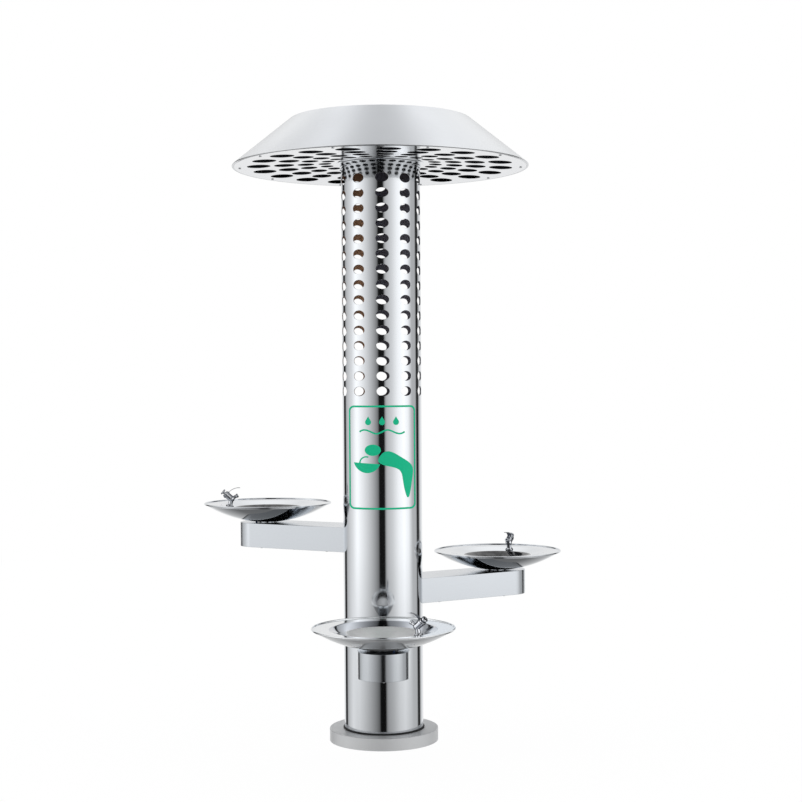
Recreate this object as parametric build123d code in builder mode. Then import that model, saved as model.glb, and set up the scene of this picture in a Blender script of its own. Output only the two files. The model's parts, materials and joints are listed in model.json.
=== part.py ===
from build123d import *
import os
from math import asin, atan2, cos, degrees, pi, radians, sin, sqrt, tan

# Outdoor drinking fountain: three basins on arms around a perforated steel column, under a wide cap.
# Millimetres, +Z up. The origin is the centre of the column's foot, on the ground.
# Azimuths start at the front (-Y) and grow towards a front viewer's right (+X).

os.makedirs("parts", exist_ok=True)

# Column
COLUMN_R = 150
COLUMN_WALL = 3
COLUMN_TOP_Z = 2300
FOOT_Z = 51  # the column's visible lower edge
FOOT_BEVEL = 3
FOOT_RING_H = 6
SPIGOT_R = 146  # the narrower stub that passes through the base cover
SPIGOT_WALL = 5

# Vent holes in the column, wider than they are tall
VENT_COLUMNS = 10
VENT_ROWS = 15
VENT_PITCH = 56.7
VENT_LOW_Z = 1324.5
VENT_WIDTH = 49
VENT_HEIGHT = 35
VENT_TURN = 1.75  # degrees that the vent columns are turned from the front

# Base
FLANGE_R = 200
FLANGE_T = 12
FLANGE_BORE_R = 85
ANCHOR_PCD = 220
ANCHOR_COUNT = 6
ANCHOR_HOLE_R = 7
COVER_R = 206
COVER_H = 46
COVER_SHEET = 3
COVER_GAP = 0.5
GASKET_R = 154
GASKET_GAP = 0.3

# Cap
CAP_R = 561
CAP_TOP_R = 343
RIM_Z = 2171
CAP_H = 180  # the rim's lower edge to the shoulder
CAP_CROWN = 12  # the top plate's rise from shoulder to centre
CAP_SHEET = 2
RIM_BEAD_R = 3
SOFFIT_SHEET = 1.5
SOFFIT_SLOPE = 0.0415  # rise towards the column per millimetre
SOFFIT_EDGE_R = 552
SOFFIT_BORE_R = 152.5
SOFFIT_HOLES = ((460, 44.5), (364, 38.5), (282, 31.5), (210, 24.5))  # ring radius, hole radius
SOFFIT_COUNT = 20
SOFFIT_TURN = 3.7
RIM_FLANGE_R = 515
SOFFIT_SCREW_COUNT = 10
SOFFIT_SCREW_REACH = 533
SOFFIT_SCREW_R = 2.5
COLLAR_WALL = 4
COLLAR_FLANGE_R = 166
COLLAR_DROP = 15
RIB_COUNT = 6
RIB_REACH = 330
RIB_T = 5
HUB_PLATE_T = 6
HUB_RING_H = 60
HUB_WALL = 6
HUB_GAP = 0.2
CAP_BOLT_Z = 2270

# Arms and basins: azimuth of the arm and height of the basin's rim
ARMS = {"left": (-120, 885), "right": (120, 689), "front": (0, 508)}
ARM_WIDTH = 182
ARM_H = 94
ARM_END_REACH = 548  # centre of the rounded end
ARM_SHEET = 3
ARM_ROOT_PLATE = 6
ARM_LIP = 11
ARM_LIP_T = 2
ARM_COVER_T = 3
ARM_COVER_GAP = 0.3
COVER_SCREWS = ((200, 82.5), (200, -82.5), (500, 82.5), (500, -82.5), (630.5, 0))
COVER_SCREW_R = 2
SERVICE_HOLE_R = 38
ARM_BOLT_R = 4
BOLT_HEAD_R = 7.5
BOLT_HEAD_H = 5.3
CAP_BOLT_SHANK = 14
ARM_BOLT_SPREAD = 19  # degrees each side of the arm
ARM_BOLT_RISE = 28
BACKING_T = 5
BACKING_SPREAD = 26
BACKING_H = 80
BASIN_REACH = 526
BASIN_R = 251.5
BASIN_DEPTH = 77  # arm top to rim
BASIN_SHEET = 1.5
RIM_ROLL_R = 3.2
SHELL_EDGE_R = 241
SHELL_FLAT_R = 32
SHELL_RISE = 71  # height of the saucer's sphere above its flat at SHELL_REF_R
SHELL_REF_R = 245
DECK_OUTER = (246.5, 72.5)  # radius and height of the deck's sheet, above the arm's top
DECK_BEND = (190, 70.5)
DECK_INNER = (128, 57)
SUMP_FOOT = (70, 27)
SUMP_FLAT = (40, 24.5)
SUMP_BEND_R = 12
DRAIN_R = 19
DRAIN_BORE_R = 16.2
DRAIN_GAP = 0.5
DRAIN_FLANGE_R = 29
DRAIN_FLANGE_T = 2.5
DRAIN_END_H = -29
STRAINER_R = 22
STRAINER_T = 1.5
STRAINER_HOLE_R = 2.4
SPACER_R = 28
NUT_T = 8
NUT_R = 31
LOCKNUT_T = 5

# Bubbler, on the deck's inner slope
BUBBLER_TURNS = {"left": 32, "right": 37, "front": 53}  # degrees from the arm's direction
BUBBLER_REACH = 150  # from the basin's centre
BUBBLER_LIFT = 0.2  # keeps the flat gasket clear of the conical deck
BARREL_LEAN = 50  # away from the basin's centre
NOZZLE_LEAN = -62
POST_R = 9
KNUCKLE_R = 13
KNUCKLE_RISE = 30
BARREL_R = 12.5
BARREL_END = 34  # from the knuckle's centre
FOOT_FLANGE_R = 15
FOOT_FLANGE_T = 3
BUBBLER_GASKET_T = 1.5
SHANK_R = 6.5
SHANK_DROP = 13
SHANK_BORE_R = 4.6
NOZZLE_R = 6.5
NOZZLE_END = 30
NOZZLE_TIP_R = 8
NOZZLE_TIP_L = 7
BUTTON_STEM_R = 6
BUTTON_CAP_R = 11.5
BUTTON_CAP_T = 6.5
BUTTON_GAP = 6  # under the cap; the button travels 5
BUTTON_FIT = 0.05
BUTTON_BORE_FLOOR = 8
BUTTON_STEM_END = 20
SPRING_R = 4.4
SPRING_WIRE_R = 0.6
SPRING_PITCH = 2.6
GUARD_RING_WALL = 2
GUARD_RING_LOW = 21
GUARD_RING_H = 8
GUARD_GAP = 0.1
GUARD_WIDTH = 16
GUARD_T = 2
GUARD_CREST = (-15, 69)  # towards the basin's centre is negative, up is positive
GUARD_TIP = (-41, 73)

# Plumbing
STACK_R = 25
STACK_WALL = 3
PIPE_END_Z = 5
PIPE_STOP_Z = 45  # collar that a fitting pushed on from below stops against
PIPE_STOP_H = 10
PIPE_STOP_T = 3
BRANCH_R = 16
BRANCH_WALL = 2
BRANCH_DROP = 52
BRANCH_BEND_R = 22
SOCKET_R = 20
SOCKET_END = 60
SOCKET_DEPTH = 18
SOCKET_GAP = 0.2
RISER_REACH = -62  # behind the column's axis
RISER_R = 11
RISER_WALL = 2
VALVE_Z = 250
VALVE_R = 17
VALVE_HALF = 25
VALVE_SOCKET = 12
STEM_R = 4
STEM_BOSS_R = 8
STEM_BOSS_END = 30
STEM_END = 38
LEVER_L = 84
LEVER_W = 13
LEVER_T = 4
LEVER_HUB_R = 10
HOSE_R = 4
HOSE_DROP = 24
HOSE_BEND_R = 8
HOSE_RISE_REACH = 45  # from the basin's axis to where the hose comes up through the arm
HOSE_SIDE = 18  # off the arm's middle where the hose passes the service hole
HOSE_BESIDE = (260, 33)  # spot from which the hose lies beside the drain branch
HOSE_TURN_REACH = 85
HOSE_FRONT_TURN_REACH = 60
HOSE_LEAD = 30  # straight run before the hose turns up
HOSE_UNDER_PAN = (110, 30)  # distance from the basin's axis, height above the arm
HOSE_SHANK_DROPS = (20, 5)  # where the hose turns into the bubbler's shank, and where it ends inside
HOSE_TOP_BEND = 13
OUTLET_R = 7
OUTLET_L = 9

# Service door, in the back of the column
DOOR_AZIMUTH = 180
DOOR_LOW_Z = 110
DOOR_H = 350
DOOR_W = 172
DOOR_GAP = 2
DOOR_CORNER_R = 20
HINGE_REACH = 155.5
HINGE_R = 4.5
PIN_R = 2.5
PIN_FIT = 0.05
KNUCKLE_H = 14
KNUCKLE_GAP = 0.3
LEAF_T = 4.5
LEAF_W = 16
HINGE_HEIGHTS = (165, 375)
LOCK_AZIMUTH = 156
LOCK_Z = 285
LOCK_R = 10
LOCK_FIT = 0.05
LOCK_HEAD_R = 13
LOCK_HEAD_T = 4
LOCK_INNER_END = 132
CAM_L = 45
CAM_W = 16
CAM_T = 3
KEY_SLOT = (2, 9, 3)

# Sign: thin film on the column's front, drawn as it is seen from the front
SIGN_LOW_Z = 885
SIGN_H = 387
SIGN_HALF_W = 124
SIGN_STROKE = 7
SIGN_SIDE_STROKE = 5
SIGN_CORNER_R = 19
SIGN_FILM = 0.5
DROP_R = 11
DROP_TIP = 21  # above the drop's centre
DROP_PITCH = 52
DROP_Z = 1210
WAVE_Z = 1174
WAVE_RISE = 7
WAVE_STEP = 21  # along the wave, from crest to level to trough
WAVE_STROKE = 6
JET_STROKE = 5

SEAT_LIFT = 0.08  # keeps flat rings just clear of the shallow cones that they sit on
BOLT_SLACK = 0.2  # radial play of bolts and screws in their holes
CUT_PAST = 5  # how far a cut runs past the face that it opens

UP = Vector(0, 0, 1)


def outward(azimuth):
    """Level unit vector away from the column's axis."""
    return Vector(sin(radians(azimuth)), -cos(radians(azimuth)), 0)


def level(azimuth, reach, z):
    """Level plane: local x runs outward, local y towards growing azimuths."""
    out = outward(azimuth)
    return Plane(origin=out * reach + UP * z, x_dir=out, z_dir=UP)


def upright(azimuth, reach, z):
    """Vertical plane that holds the outward direction: local x runs outward, local y up."""
    out = outward(azimuth)
    return Plane(origin=out * reach + UP * z, x_dir=out, z_dir=out.cross(UP))


def facing(azimuth, reach, z):
    """Vertical plane that faces outward: local x runs towards growing azimuths, local y up."""
    out = outward(azimuth)
    return Plane(origin=out * reach + UP * z, x_dir=UP.cross(out), z_dir=out)


def arm_top(side):
    return ARMS[side][1] - BASIN_DEPTH


def basin_axis(side):
    return Axis(level(ARMS[side][0], BASIN_REACH, 0).origin, UP)


def save(builder, label):
    builder.part.label = label
    export_step(builder.part, f"parts/{label}.step")


def ring(outer_r, inner_r, height):
    """Adds a tube with its lower end at the current location."""
    seat = (Align.CENTER, Align.CENTER, Align.MIN)
    Cylinder(outer_r, height, align=seat)
    Cylinder(inner_r, height, align=seat, mode=Mode.SUBTRACT)


def peg(radius, height, mode=Mode.ADD):
    """Adds or cuts a cylinder with its lower end at the current location."""
    Cylinder(radius, height, align=(Align.CENTER, Align.CENTER, Align.MIN), mode=mode)


# ---------------------------------------------------------------- base and column

with BuildPart() as anchor_flange:
    with BuildSketch():
        Circle(FLANGE_R)
        Circle(FLANGE_BORE_R, mode=Mode.SUBTRACT)
        with PolarLocations(ANCHOR_PCD / 2, ANCHOR_COUNT, start_angle=180 / ANCHOR_COUNT):
            Circle(ANCHOR_HOLE_R, mode=Mode.SUBTRACT)
    extrude(amount=FLANGE_T)
    chamfer(anchor_flange.edges().group_by(Axis.Z)[-1].sort_by(SortBy.LENGTH)[-1], 1)
save(anchor_flange, "anchor_flange")

with BuildPart() as base_cover:
    with BuildSketch():
        Circle(COVER_R)
    extrude(amount=COVER_H)
    fillet(base_cover.edges().group_by(Axis.Z)[-1], 2)
    with BuildSketch():
        Circle(COVER_R - COVER_SHEET)
    extrude(amount=COVER_H - COVER_SHEET, mode=Mode.SUBTRACT)
    with BuildSketch():
        Circle(SPIGOT_R + COVER_GAP)
    extrude(amount=COVER_H, mode=Mode.SUBTRACT)
save(base_cover, "base_cover")

with BuildPart() as base_gasket:
    with Locations((0, 0, COVER_H)):
        ring(GASKET_R, SPIGOT_R + GASKET_GAP, FOOT_Z - COVER_H)
save(base_gasket, "base_gasket")


def cut_arm_fixings(side, from_r, depth, bolt_r):
    """Cuts the bolt holes and then the service hole of one arm, from from_r outward."""
    azimuth = ARMS[side][0]
    middle_z = arm_top(side) - ARM_H / 2
    for turn in (-ARM_BOLT_SPREAD, ARM_BOLT_SPREAD):
        for rise in (-ARM_BOLT_RISE, ARM_BOLT_RISE):
            with Locations(facing(azimuth + turn, from_r, middle_z + rise)):
                peg(bolt_r, depth, Mode.SUBTRACT)
    with Locations(facing(azimuth, from_r, middle_z)):
        peg(SERVICE_HOLE_R, depth, Mode.SUBTRACT)


with BuildPart() as column_tube:
    with BuildSketch(Plane.XZ):
        with BuildLine():
            Polyline(
                (SPIGOT_R - SPIGOT_WALL, FLANGE_T),
                (SPIGOT_R, FLANGE_T),
                (SPIGOT_R, FOOT_Z),
                (COLUMN_R - FOOT_BEVEL, FOOT_Z),
                (COLUMN_R, FOOT_Z + FOOT_BEVEL),
                (COLUMN_R, COLUMN_TOP_Z),
                (COLUMN_R - COLUMN_WALL, COLUMN_TOP_Z),
                (COLUMN_R - COLUMN_WALL, FOOT_Z + FOOT_RING_H),
                (SPIGOT_R - SPIGOT_WALL, FOOT_Z + FOOT_RING_H),
                close=True,
            )
        make_face()
    revolve(axis=Axis.Z)
    # Each sketch cuts two opposite columns of vents.
    for column in range(VENT_COLUMNS // 2):
        with BuildSketch(facing(VENT_TURN + column * 360 / VENT_COLUMNS, 0, VENT_LOW_Z)):
            with Locations([(0, row * VENT_PITCH) for row in range(VENT_ROWS)]):
                Ellipse(VENT_WIDTH / 2, VENT_HEIGHT / 2)
        extrude(amount=COLUMN_R + CUT_PAST, both=True, mode=Mode.SUBTRACT)
    for side in ARMS:
        cut_arm_fixings(side, COLUMN_R - 2 * COLUMN_WALL, 3 * COLUMN_WALL, ARM_BOLT_R + BOLT_SLACK)
    with BuildSketch(facing(DOOR_AZIMUTH, 0, DOOR_LOW_Z + DOOR_H / 2)):
        RectangleRounded(DOOR_W, DOOR_H, DOOR_CORNER_R)
    extrude(amount=COLUMN_R + CUT_PAST, mode=Mode.SUBTRACT)
    for rib in range(RIB_COUNT):
        with Locations(facing((rib + 0.5) * 360 / RIB_COUNT, 0, CAP_BOLT_Z)):
            peg(ARM_BOLT_R + BOLT_SLACK, COLUMN_R + CUT_PAST, Mode.SUBTRACT)
save(column_tube, "column_tube")

# ---------------------------------------------------------------- service door

HINGE_AZIMUTH = DOOR_AZIMUTH + degrees(asin((DOOR_W - DOOR_GAP) / 2 / COLUMN_R))


def hinge_knuckle(z, side_sign):
    """Adds one hinge barrel with a leaf that reaches from the barrel to the column's skin."""
    with Locations(level(HINGE_AZIMUTH, HINGE_REACH, z)):
        peg(HINGE_R, KNUCKLE_H - KNUCKLE_GAP)
    leaf = level(HINGE_AZIMUTH, COLUMN_R - 1, z)
    with Locations(leaf.location * Location((0, side_sign * LEAF_W / 2, 0))):
        Box(LEAF_T, LEAF_W, KNUCKLE_H - KNUCKLE_GAP, align=(Align.MIN, Align.CENTER, Align.MIN))


with BuildPart() as service_door:
    with BuildSketch(Plane.XY.offset(DOOR_LOW_Z + DOOR_GAP)):
        Circle(COLUMN_R)
        Circle(COLUMN_R - COLUMN_WALL, mode=Mode.SUBTRACT)
    extrude(amount=DOOR_H - 2 * DOOR_GAP)
    with BuildSketch(facing(DOOR_AZIMUTH, 0, DOOR_LOW_Z + DOOR_H / 2)):
        RectangleRounded(DOOR_W - 2 * DOOR_GAP, DOOR_H - 2 * DOOR_GAP, DOOR_CORNER_R - DOOR_GAP)
    extrude(amount=COLUMN_R + CUT_PAST, mode=Mode.INTERSECT)
    for z in HINGE_HEIGHTS:
        hinge_knuckle(z + KNUCKLE_H, -1)
        with Locations(level(HINGE_AZIMUTH, HINGE_REACH, z)):
            peg(PIN_R + PIN_FIT, 3 * KNUCKLE_H, Mode.SUBTRACT)
    with Locations(facing(LOCK_AZIMUTH, COLUMN_R - 3 * COLUMN_WALL, LOCK_Z)):
        peg(LOCK_R + LOCK_FIT, 6 * COLUMN_WALL, Mode.SUBTRACT)
save(service_door, "service_door")

with BuildPart() as door_hinges:
    for z in HINGE_HEIGHTS:
        hinge_knuckle(z, 1)
    with BuildSketch():
        Circle(COLUMN_R)
    extrude(amount=COLUMN_TOP_Z, mode=Mode.SUBTRACT)
    for z in HINGE_HEIGHTS:
        with Locations(level(HINGE_AZIMUTH, HINGE_REACH, z)):
            peg(PIN_R, 2 * KNUCKLE_H - 1)
save(door_hinges, "door_hinges")

with BuildPart() as door_lock:
    with Locations(facing(LOCK_AZIMUTH, LOCK_INNER_END, LOCK_Z)):
        peg(LOCK_R, COLUMN_R + PIN_FIT - LOCK_INNER_END)
    with Locations(facing(LOCK_AZIMUTH, COLUMN_R + PIN_FIT, LOCK_Z)):
        peg(LOCK_HEAD_R, LOCK_HEAD_T)
    fillet(door_lock.edges().filter_by(GeomType.CIRCLE).sort_by(SortBy.DISTANCE)[-1], 1)
    with BuildSketch(facing(LOCK_AZIMUTH, LOCK_INNER_END, LOCK_Z)):
        with Locations((0, CAM_L / 2 - CAM_W / 2)):
            RectangleRounded(CAM_W, CAM_L, CAM_W / 2 - 1)
    extrude(amount=CAM_T)
    with Locations(facing(LOCK_AZIMUTH, COLUMN_R + LOCK_HEAD_T, LOCK_Z)):
        Box(*KEY_SLOT, mode=Mode.SUBTRACT)
save(door_lock, "door_lock")

# ---------------------------------------------------------------- cap

SHOULDER_Z = RIM_Z + CAP_H
HUB_Z = COLUMN_TOP_Z


def soffit_under(radius):
    """Height of the soffit's lower face."""
    return RIM_Z + (CAP_R - radius) * SOFFIT_SLOPE


def crown_under(radius):
    """Height of the top plate's inner face."""
    return SHOULDER_Z - CAP_SHEET + CAP_CROWN * (1 - radius / CAP_TOP_R)


with BuildPart() as cap_shell:
    flange_rise = SOFFIT_SHEET + CAP_SHEET / 2 + SEAT_LIFT
    with BuildSketch(Plane.XZ):
        with BuildLine():
            FilletPolyline(
                (RIM_FLANGE_R, soffit_under(RIM_FLANGE_R) + flange_rise),
                (CAP_R, soffit_under(CAP_R) + flange_rise),
                (CAP_TOP_R, SHOULDER_Z - CAP_SHEET / 2),
                (CAP_TOP_R / 10, SHOULDER_Z - CAP_SHEET / 2 + CAP_CROWN),
                (0, SHOULDER_Z - CAP_SHEET / 2 + CAP_CROWN),
                radius=CAP_SHEET,
            )
        trace(line_width=CAP_SHEET)
        with Locations((CAP_R - RIM_BEAD_R, RIM_Z + RIM_BEAD_R)):
            Circle(RIM_BEAD_R)
    revolve(axis=Axis.Z)
    with BuildSketch(Plane.XY.offset(RIM_Z)):
        with PolarLocations(SOFFIT_SCREW_REACH, SOFFIT_SCREW_COUNT):
            Circle(SOFFIT_SCREW_R + PIN_FIT)
    extrude(amount=SOFFIT_SHEET + 2 * CAP_SHEET, mode=Mode.SUBTRACT)
save(cap_shell, "cap_shell")

with BuildPart() as cap_soffit:
    with BuildSketch(Plane.XZ):
        with BuildLine():
            Polyline(
                (SOFFIT_BORE_R, soffit_under(SOFFIT_BORE_R)),
                (SOFFIT_EDGE_R, soffit_under(SOFFIT_EDGE_R)),
                (SOFFIT_EDGE_R, soffit_under(SOFFIT_EDGE_R) + SOFFIT_SHEET),
                (SOFFIT_BORE_R, soffit_under(SOFFIT_BORE_R) + SOFFIT_SHEET),
                close=True,
            )
        make_face()
    revolve(axis=Axis.Z)
    with BuildSketch(Plane.XY.offset(RIM_Z - CAP_SHEET)):
        for ring_r, hole_r in SOFFIT_HOLES:
            with PolarLocations(ring_r, SOFFIT_COUNT, start_angle=SOFFIT_TURN - 90):
                Circle(hole_r)
        with PolarLocations(SOFFIT_SCREW_REACH, SOFFIT_SCREW_COUNT):
            Circle(SOFFIT_SCREW_R + BOLT_SLACK)
    extrude(amount=CAP_H / 4, mode=Mode.SUBTRACT)
save(cap_soffit, "cap_soffit")

with BuildPart() as soffit_screws:
    seat_z = soffit_under(SOFFIT_SCREW_REACH + 2 * SOFFIT_SCREW_R)
    with PolarLocations(SOFFIT_SCREW_REACH, SOFFIT_SCREW_COUNT):
        with Locations((0, 0, seat_z)):
            peg(SOFFIT_SCREW_R, SOFFIT_SHEET + 3 * CAP_SHEET)
        with Locations((0, 0, seat_z - SOFFIT_SCREW_R)):
            peg(2 * SOFFIT_SCREW_R, SOFFIT_SCREW_R)
save(soffit_screws, "soffit_screws")

with BuildPart() as cap_collar:
    collar_top = soffit_under(COLLAR_FLANGE_R)
    with Locations((0, 0, collar_top - COLLAR_DROP)):
        ring(COLUMN_R + GASKET_GAP + COLLAR_WALL, COLUMN_R + GASKET_GAP, COLLAR_DROP)
    with Locations((0, 0, collar_top - CAP_SHEET)):
        ring(COLLAR_FLANGE_R, COLUMN_R + GASKET_GAP, CAP_SHEET)
save(cap_collar, "cap_collar")

with BuildPart() as cap_frame:
    ring_r = COLUMN_R - COLUMN_WALL - HUB_GAP
    with Locations((0, 0, HUB_Z - HUB_RING_H)):
        ring(ring_r, ring_r - HUB_WALL, HUB_RING_H)
    with Locations((0, 0, HUB_Z)):
        ring(COLUMN_R, ring_r / 2, HUB_PLATE_T)
    for rib in range(RIB_COUNT):
        azimuth = rib * 360 / RIB_COUNT
        with BuildSketch(upright(azimuth, 0, 0)):
            with BuildLine():
                Polyline(
                    (ring_r / 2, HUB_Z + HUB_PLATE_T),
                    (COLUMN_R, HUB_Z + HUB_PLATE_T),
                    (RIB_REACH, HUB_Z + 3 * HUB_PLATE_T),
                    (RIB_REACH, crown_under(RIB_REACH) - 1),
                    (ring_r / 2, crown_under(ring_r / 2) - 1),
                    close=True,
                )
            make_face()
        extrude(amount=RIB_T / 2, both=True)
        with Locations(facing(azimuth + 180 / RIB_COUNT, COLUMN_R / 2, CAP_BOLT_Z)):
            peg(ARM_BOLT_R + BUTTON_FIT, COLUMN_R, Mode.SUBTRACT)
save(cap_frame, "cap_frame")


def bolts(spots, shank):
    """One part with a bolt at each plane: the shank points along local +z from the hexagon head's seat."""
    with BuildPart() as group:
        for spot in spots:
            with Locations(spot):
                peg(ARM_BOLT_R, shank)
            with BuildSketch(spot):
                RegularPolygon(BOLT_HEAD_R, 6)
            extrude(amount=-BOLT_HEAD_H)
    return group


def inward(azimuth, reach, z):
    """Vertical plane that faces the column's axis."""
    out = outward(azimuth)
    return Plane(origin=out * reach + UP * z, x_dir=out.cross(UP), z_dir=out * -1)


cap_bolt_spots = [
    inward((rib + 0.5) * 360 / RIB_COUNT, COLUMN_R + GASKET_GAP, CAP_BOLT_Z) for rib in range(RIB_COUNT)
]
save(bolts(cap_bolt_spots, CAP_BOLT_SHANK), "cap_bolts")

# ---------------------------------------------------------------- arms


def arm_outline(inset, root_r):
    """Draws the arm's plan, drawn in by inset, from root_r off the column's axis."""
    Rectangle(ARM_END_REACH, ARM_WIDTH - 2 * inset, align=(Align.MIN, Align.CENTER))
    with Locations((ARM_END_REACH, 0)):
        Circle(ARM_WIDTH / 2 - inset)
    Circle(root_r, mode=Mode.SUBTRACT)


def hose_spot(side):
    """Where the hose leaves the arm, in the arm's plan."""
    turn = radians(BUBBLER_TURNS[side])
    return BASIN_REACH + HOSE_RISE_REACH * cos(turn), HOSE_RISE_REACH * sin(turn)


def make_arm(side):
    azimuth = ARMS[side][0]
    low_z = arm_top(side) - ARM_H
    root_inner = COLUMN_R + ARM_ROOT_PLATE
    with BuildPart() as arm:
        with BuildSketch(level(azimuth, 0, low_z)):
            arm_outline(0, COLUMN_R)
        extrude(amount=ARM_H)
        fillet(arm.edges().filter_by(GeomType.CIRCLE, reverse=True).group_by(Axis.Z)[-1], 1)
        # The recess that the bottom cover sits in, then the lip above it, then the hollow.
        with BuildSketch(level(azimuth, 0, low_z)):
            arm_outline(ARM_SHEET, root_inner)
        extrude(amount=ARM_COVER_T, mode=Mode.SUBTRACT)
        with BuildSketch(level(azimuth, 0, low_z)):
            arm_outline(ARM_SHEET + ARM_LIP, root_inner + ARM_LIP)
        extrude(amount=ARM_H / 2, mode=Mode.SUBTRACT)
        with BuildSketch(level(azimuth, 0, low_z + ARM_COVER_T + ARM_LIP_T)):
            arm_outline(ARM_SHEET, root_inner)
        extrude(amount=ARM_H - ARM_COVER_T - ARM_LIP_T - ARM_SHEET, mode=Mode.SUBTRACT)
        cut_arm_fixings(side, COLUMN_R - COLUMN_WALL, 4 * ARM_ROOT_PLATE, ARM_BOLT_R + BUTTON_FIT)
        with BuildSketch(level(azimuth, 0, low_z)):
            with Locations(*COVER_SCREWS):
                Circle(COVER_SCREW_R + BUTTON_FIT)
        extrude(amount=ARM_H / 4, mode=Mode.SUBTRACT)
        with BuildSketch(level(azimuth, 0, arm_top(side))):
            with Locations((BASIN_REACH, 0)):
                Circle(DRAIN_R + DRAIN_GAP)
            with Locations(hose_spot(side)):
                Circle(HOSE_R + 2)
        extrude(amount=-2 * ARM_SHEET, mode=Mode.SUBTRACT)
    return arm


def make_arm_cover(side):
    azimuth = ARMS[side][0]
    low_z = arm_top(side) - ARM_H
    with BuildPart() as cover:
        with BuildSketch(level(azimuth, 0, low_z)):
            arm_outline(ARM_SHEET + ARM_COVER_GAP, COLUMN_R + ARM_ROOT_PLATE + ARM_COVER_GAP)
            with Locations(*COVER_SCREWS):
                Circle(COVER_SCREW_R + BOLT_SLACK, mode=Mode.SUBTRACT)
        extrude(amount=ARM_COVER_T)
    return cover


def make_cover_screws():
    with BuildPart() as screws:
        for side in ARMS:
            low_z = arm_top(side) - ARM_H
            for x, y in COVER_SCREWS:
                plane = level(ARMS[side][0], 0, low_z)
                spot = Plane(origin=plane.from_local_coords((x, y, 0)), z_dir=UP)
                with Locations(spot):
                    peg(COVER_SCREW_R, 2 * ARM_COVER_T)
                with Locations(spot.offset(-COVER_SCREW_R)):
                    peg(2 * COVER_SCREW_R, COVER_SCREW_R)
    return screws


def make_backing_plates():
    """Curved plates inside the column that the arm bolts pull against."""
    inner_r = COLUMN_R - COLUMN_WALL
    with BuildPart() as plates:
        for side in ARMS:
            azimuth = ARMS[side][0]
            middle_z = arm_top(side) - ARM_H / 2
            with BuildSketch(level(azimuth, 0, middle_z - BACKING_H / 2)):
                with BuildLine():
                    outer = CenterArc((0, 0), inner_r, -BACKING_SPREAD, 2 * BACKING_SPREAD)
                    inner = CenterArc((0, 0), inner_r - BACKING_T, -BACKING_SPREAD, 2 * BACKING_SPREAD)
                    Line(outer @ 0, inner @ 0)
                    Line(outer @ 1, inner @ 1)
                make_face()
            extrude(amount=BACKING_H)
            cut_arm_fixings(side, inner_r - 4 * BACKING_T, 5 * BACKING_T, ARM_BOLT_R + BOLT_SLACK)
    return plates


bolt_seat_r = COLUMN_R - COLUMN_WALL - BACKING_T - BOLT_SLACK
arm_bolt_spots = [
    facing(ARMS[side][0] + turn, bolt_seat_r, arm_top(side) - ARM_H / 2 + rise)
    for side in ARMS
    for turn in (-ARM_BOLT_SPREAD, ARM_BOLT_SPREAD)
    for rise in (-ARM_BOLT_RISE, ARM_BOLT_RISE)
]
for side in ARMS:
    save(make_arm(side), f"{side}_arm")
    save(make_arm_cover(side), f"{side}_arm_cover")
save(make_cover_screws(), "arm_cover_screws")
save(make_backing_plates(), "arm_backing_plates")
save(bolts(arm_bolt_spots, BACKING_T + COLUMN_WALL + 2 * ARM_ROOT_PLATE), "arm_bolts")

# ---------------------------------------------------------------- basins

SPHERE_R = (SHELL_REF_R**2 + SHELL_RISE**2) / (2 * SHELL_RISE)


def saucer(radius, sphere_r=SPHERE_R):
    """Height of the saucer's outer face above the arm's top."""
    return SPHERE_R - sqrt(sphere_r**2 - radius**2)


def make_basin_shell(side):
    plane = upright(ARMS[side][0], BASIN_REACH, arm_top(side))
    middle_r = (SHELL_FLAT_R + SHELL_EDGE_R) / 2
    inner_sphere_r = SPHERE_R - BASIN_SHEET
    with BuildPart() as shell:
        with BuildSketch(plane):
            with BuildLine():
                Polyline((DRAIN_R + DRAIN_GAP, BASIN_SHEET), (DRAIN_R + DRAIN_GAP, 0), (SHELL_FLAT_R, 0))
                Line((SHELL_FLAT_R, 0), (SHELL_FLAT_R, saucer(SHELL_FLAT_R)))
                ThreePointArc(
                    (SHELL_FLAT_R, saucer(SHELL_FLAT_R)),
                    (middle_r, saucer(middle_r)),
                    (SHELL_EDGE_R, saucer(SHELL_EDGE_R)),
                )
                Line(
                    (SHELL_EDGE_R, saucer(SHELL_EDGE_R)), (SHELL_EDGE_R, saucer(SHELL_EDGE_R, inner_sphere_r))
                )
                ThreePointArc(
                    (SHELL_EDGE_R, saucer(SHELL_EDGE_R, inner_sphere_r)),
                    (middle_r, saucer(middle_r, inner_sphere_r)),
                    (SHELL_FLAT_R, saucer(SHELL_FLAT_R, inner_sphere_r)),
                )
                Polyline(
                    (SHELL_FLAT_R, saucer(SHELL_FLAT_R, inner_sphere_r)),
                    (SPACER_R + DRAIN_GAP, BASIN_SHEET),
                    (DRAIN_R + DRAIN_GAP, BASIN_SHEET),
                )
            make_face()
        revolve(axis=basin_axis(side))
        x, y = hose_spot(side)
        with BuildSketch(level(ARMS[side][0], 0, arm_top(side))):
            with Locations((x, y)):
                Circle(HOSE_R + 2)
        extrude(amount=4 * BASIN_SHEET, mode=Mode.SUBTRACT)
    return shell


DECK_SLOPE = degrees(atan2(DECK_BEND[1] - DECK_INNER[1], DECK_BEND[0] - DECK_INNER[0]))
SEAT_H = DECK_INNER[1] + (BUBBLER_REACH - DECK_INNER[0]) * tan(radians(DECK_SLOPE)) + BASIN_SHEET / 2


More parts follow.
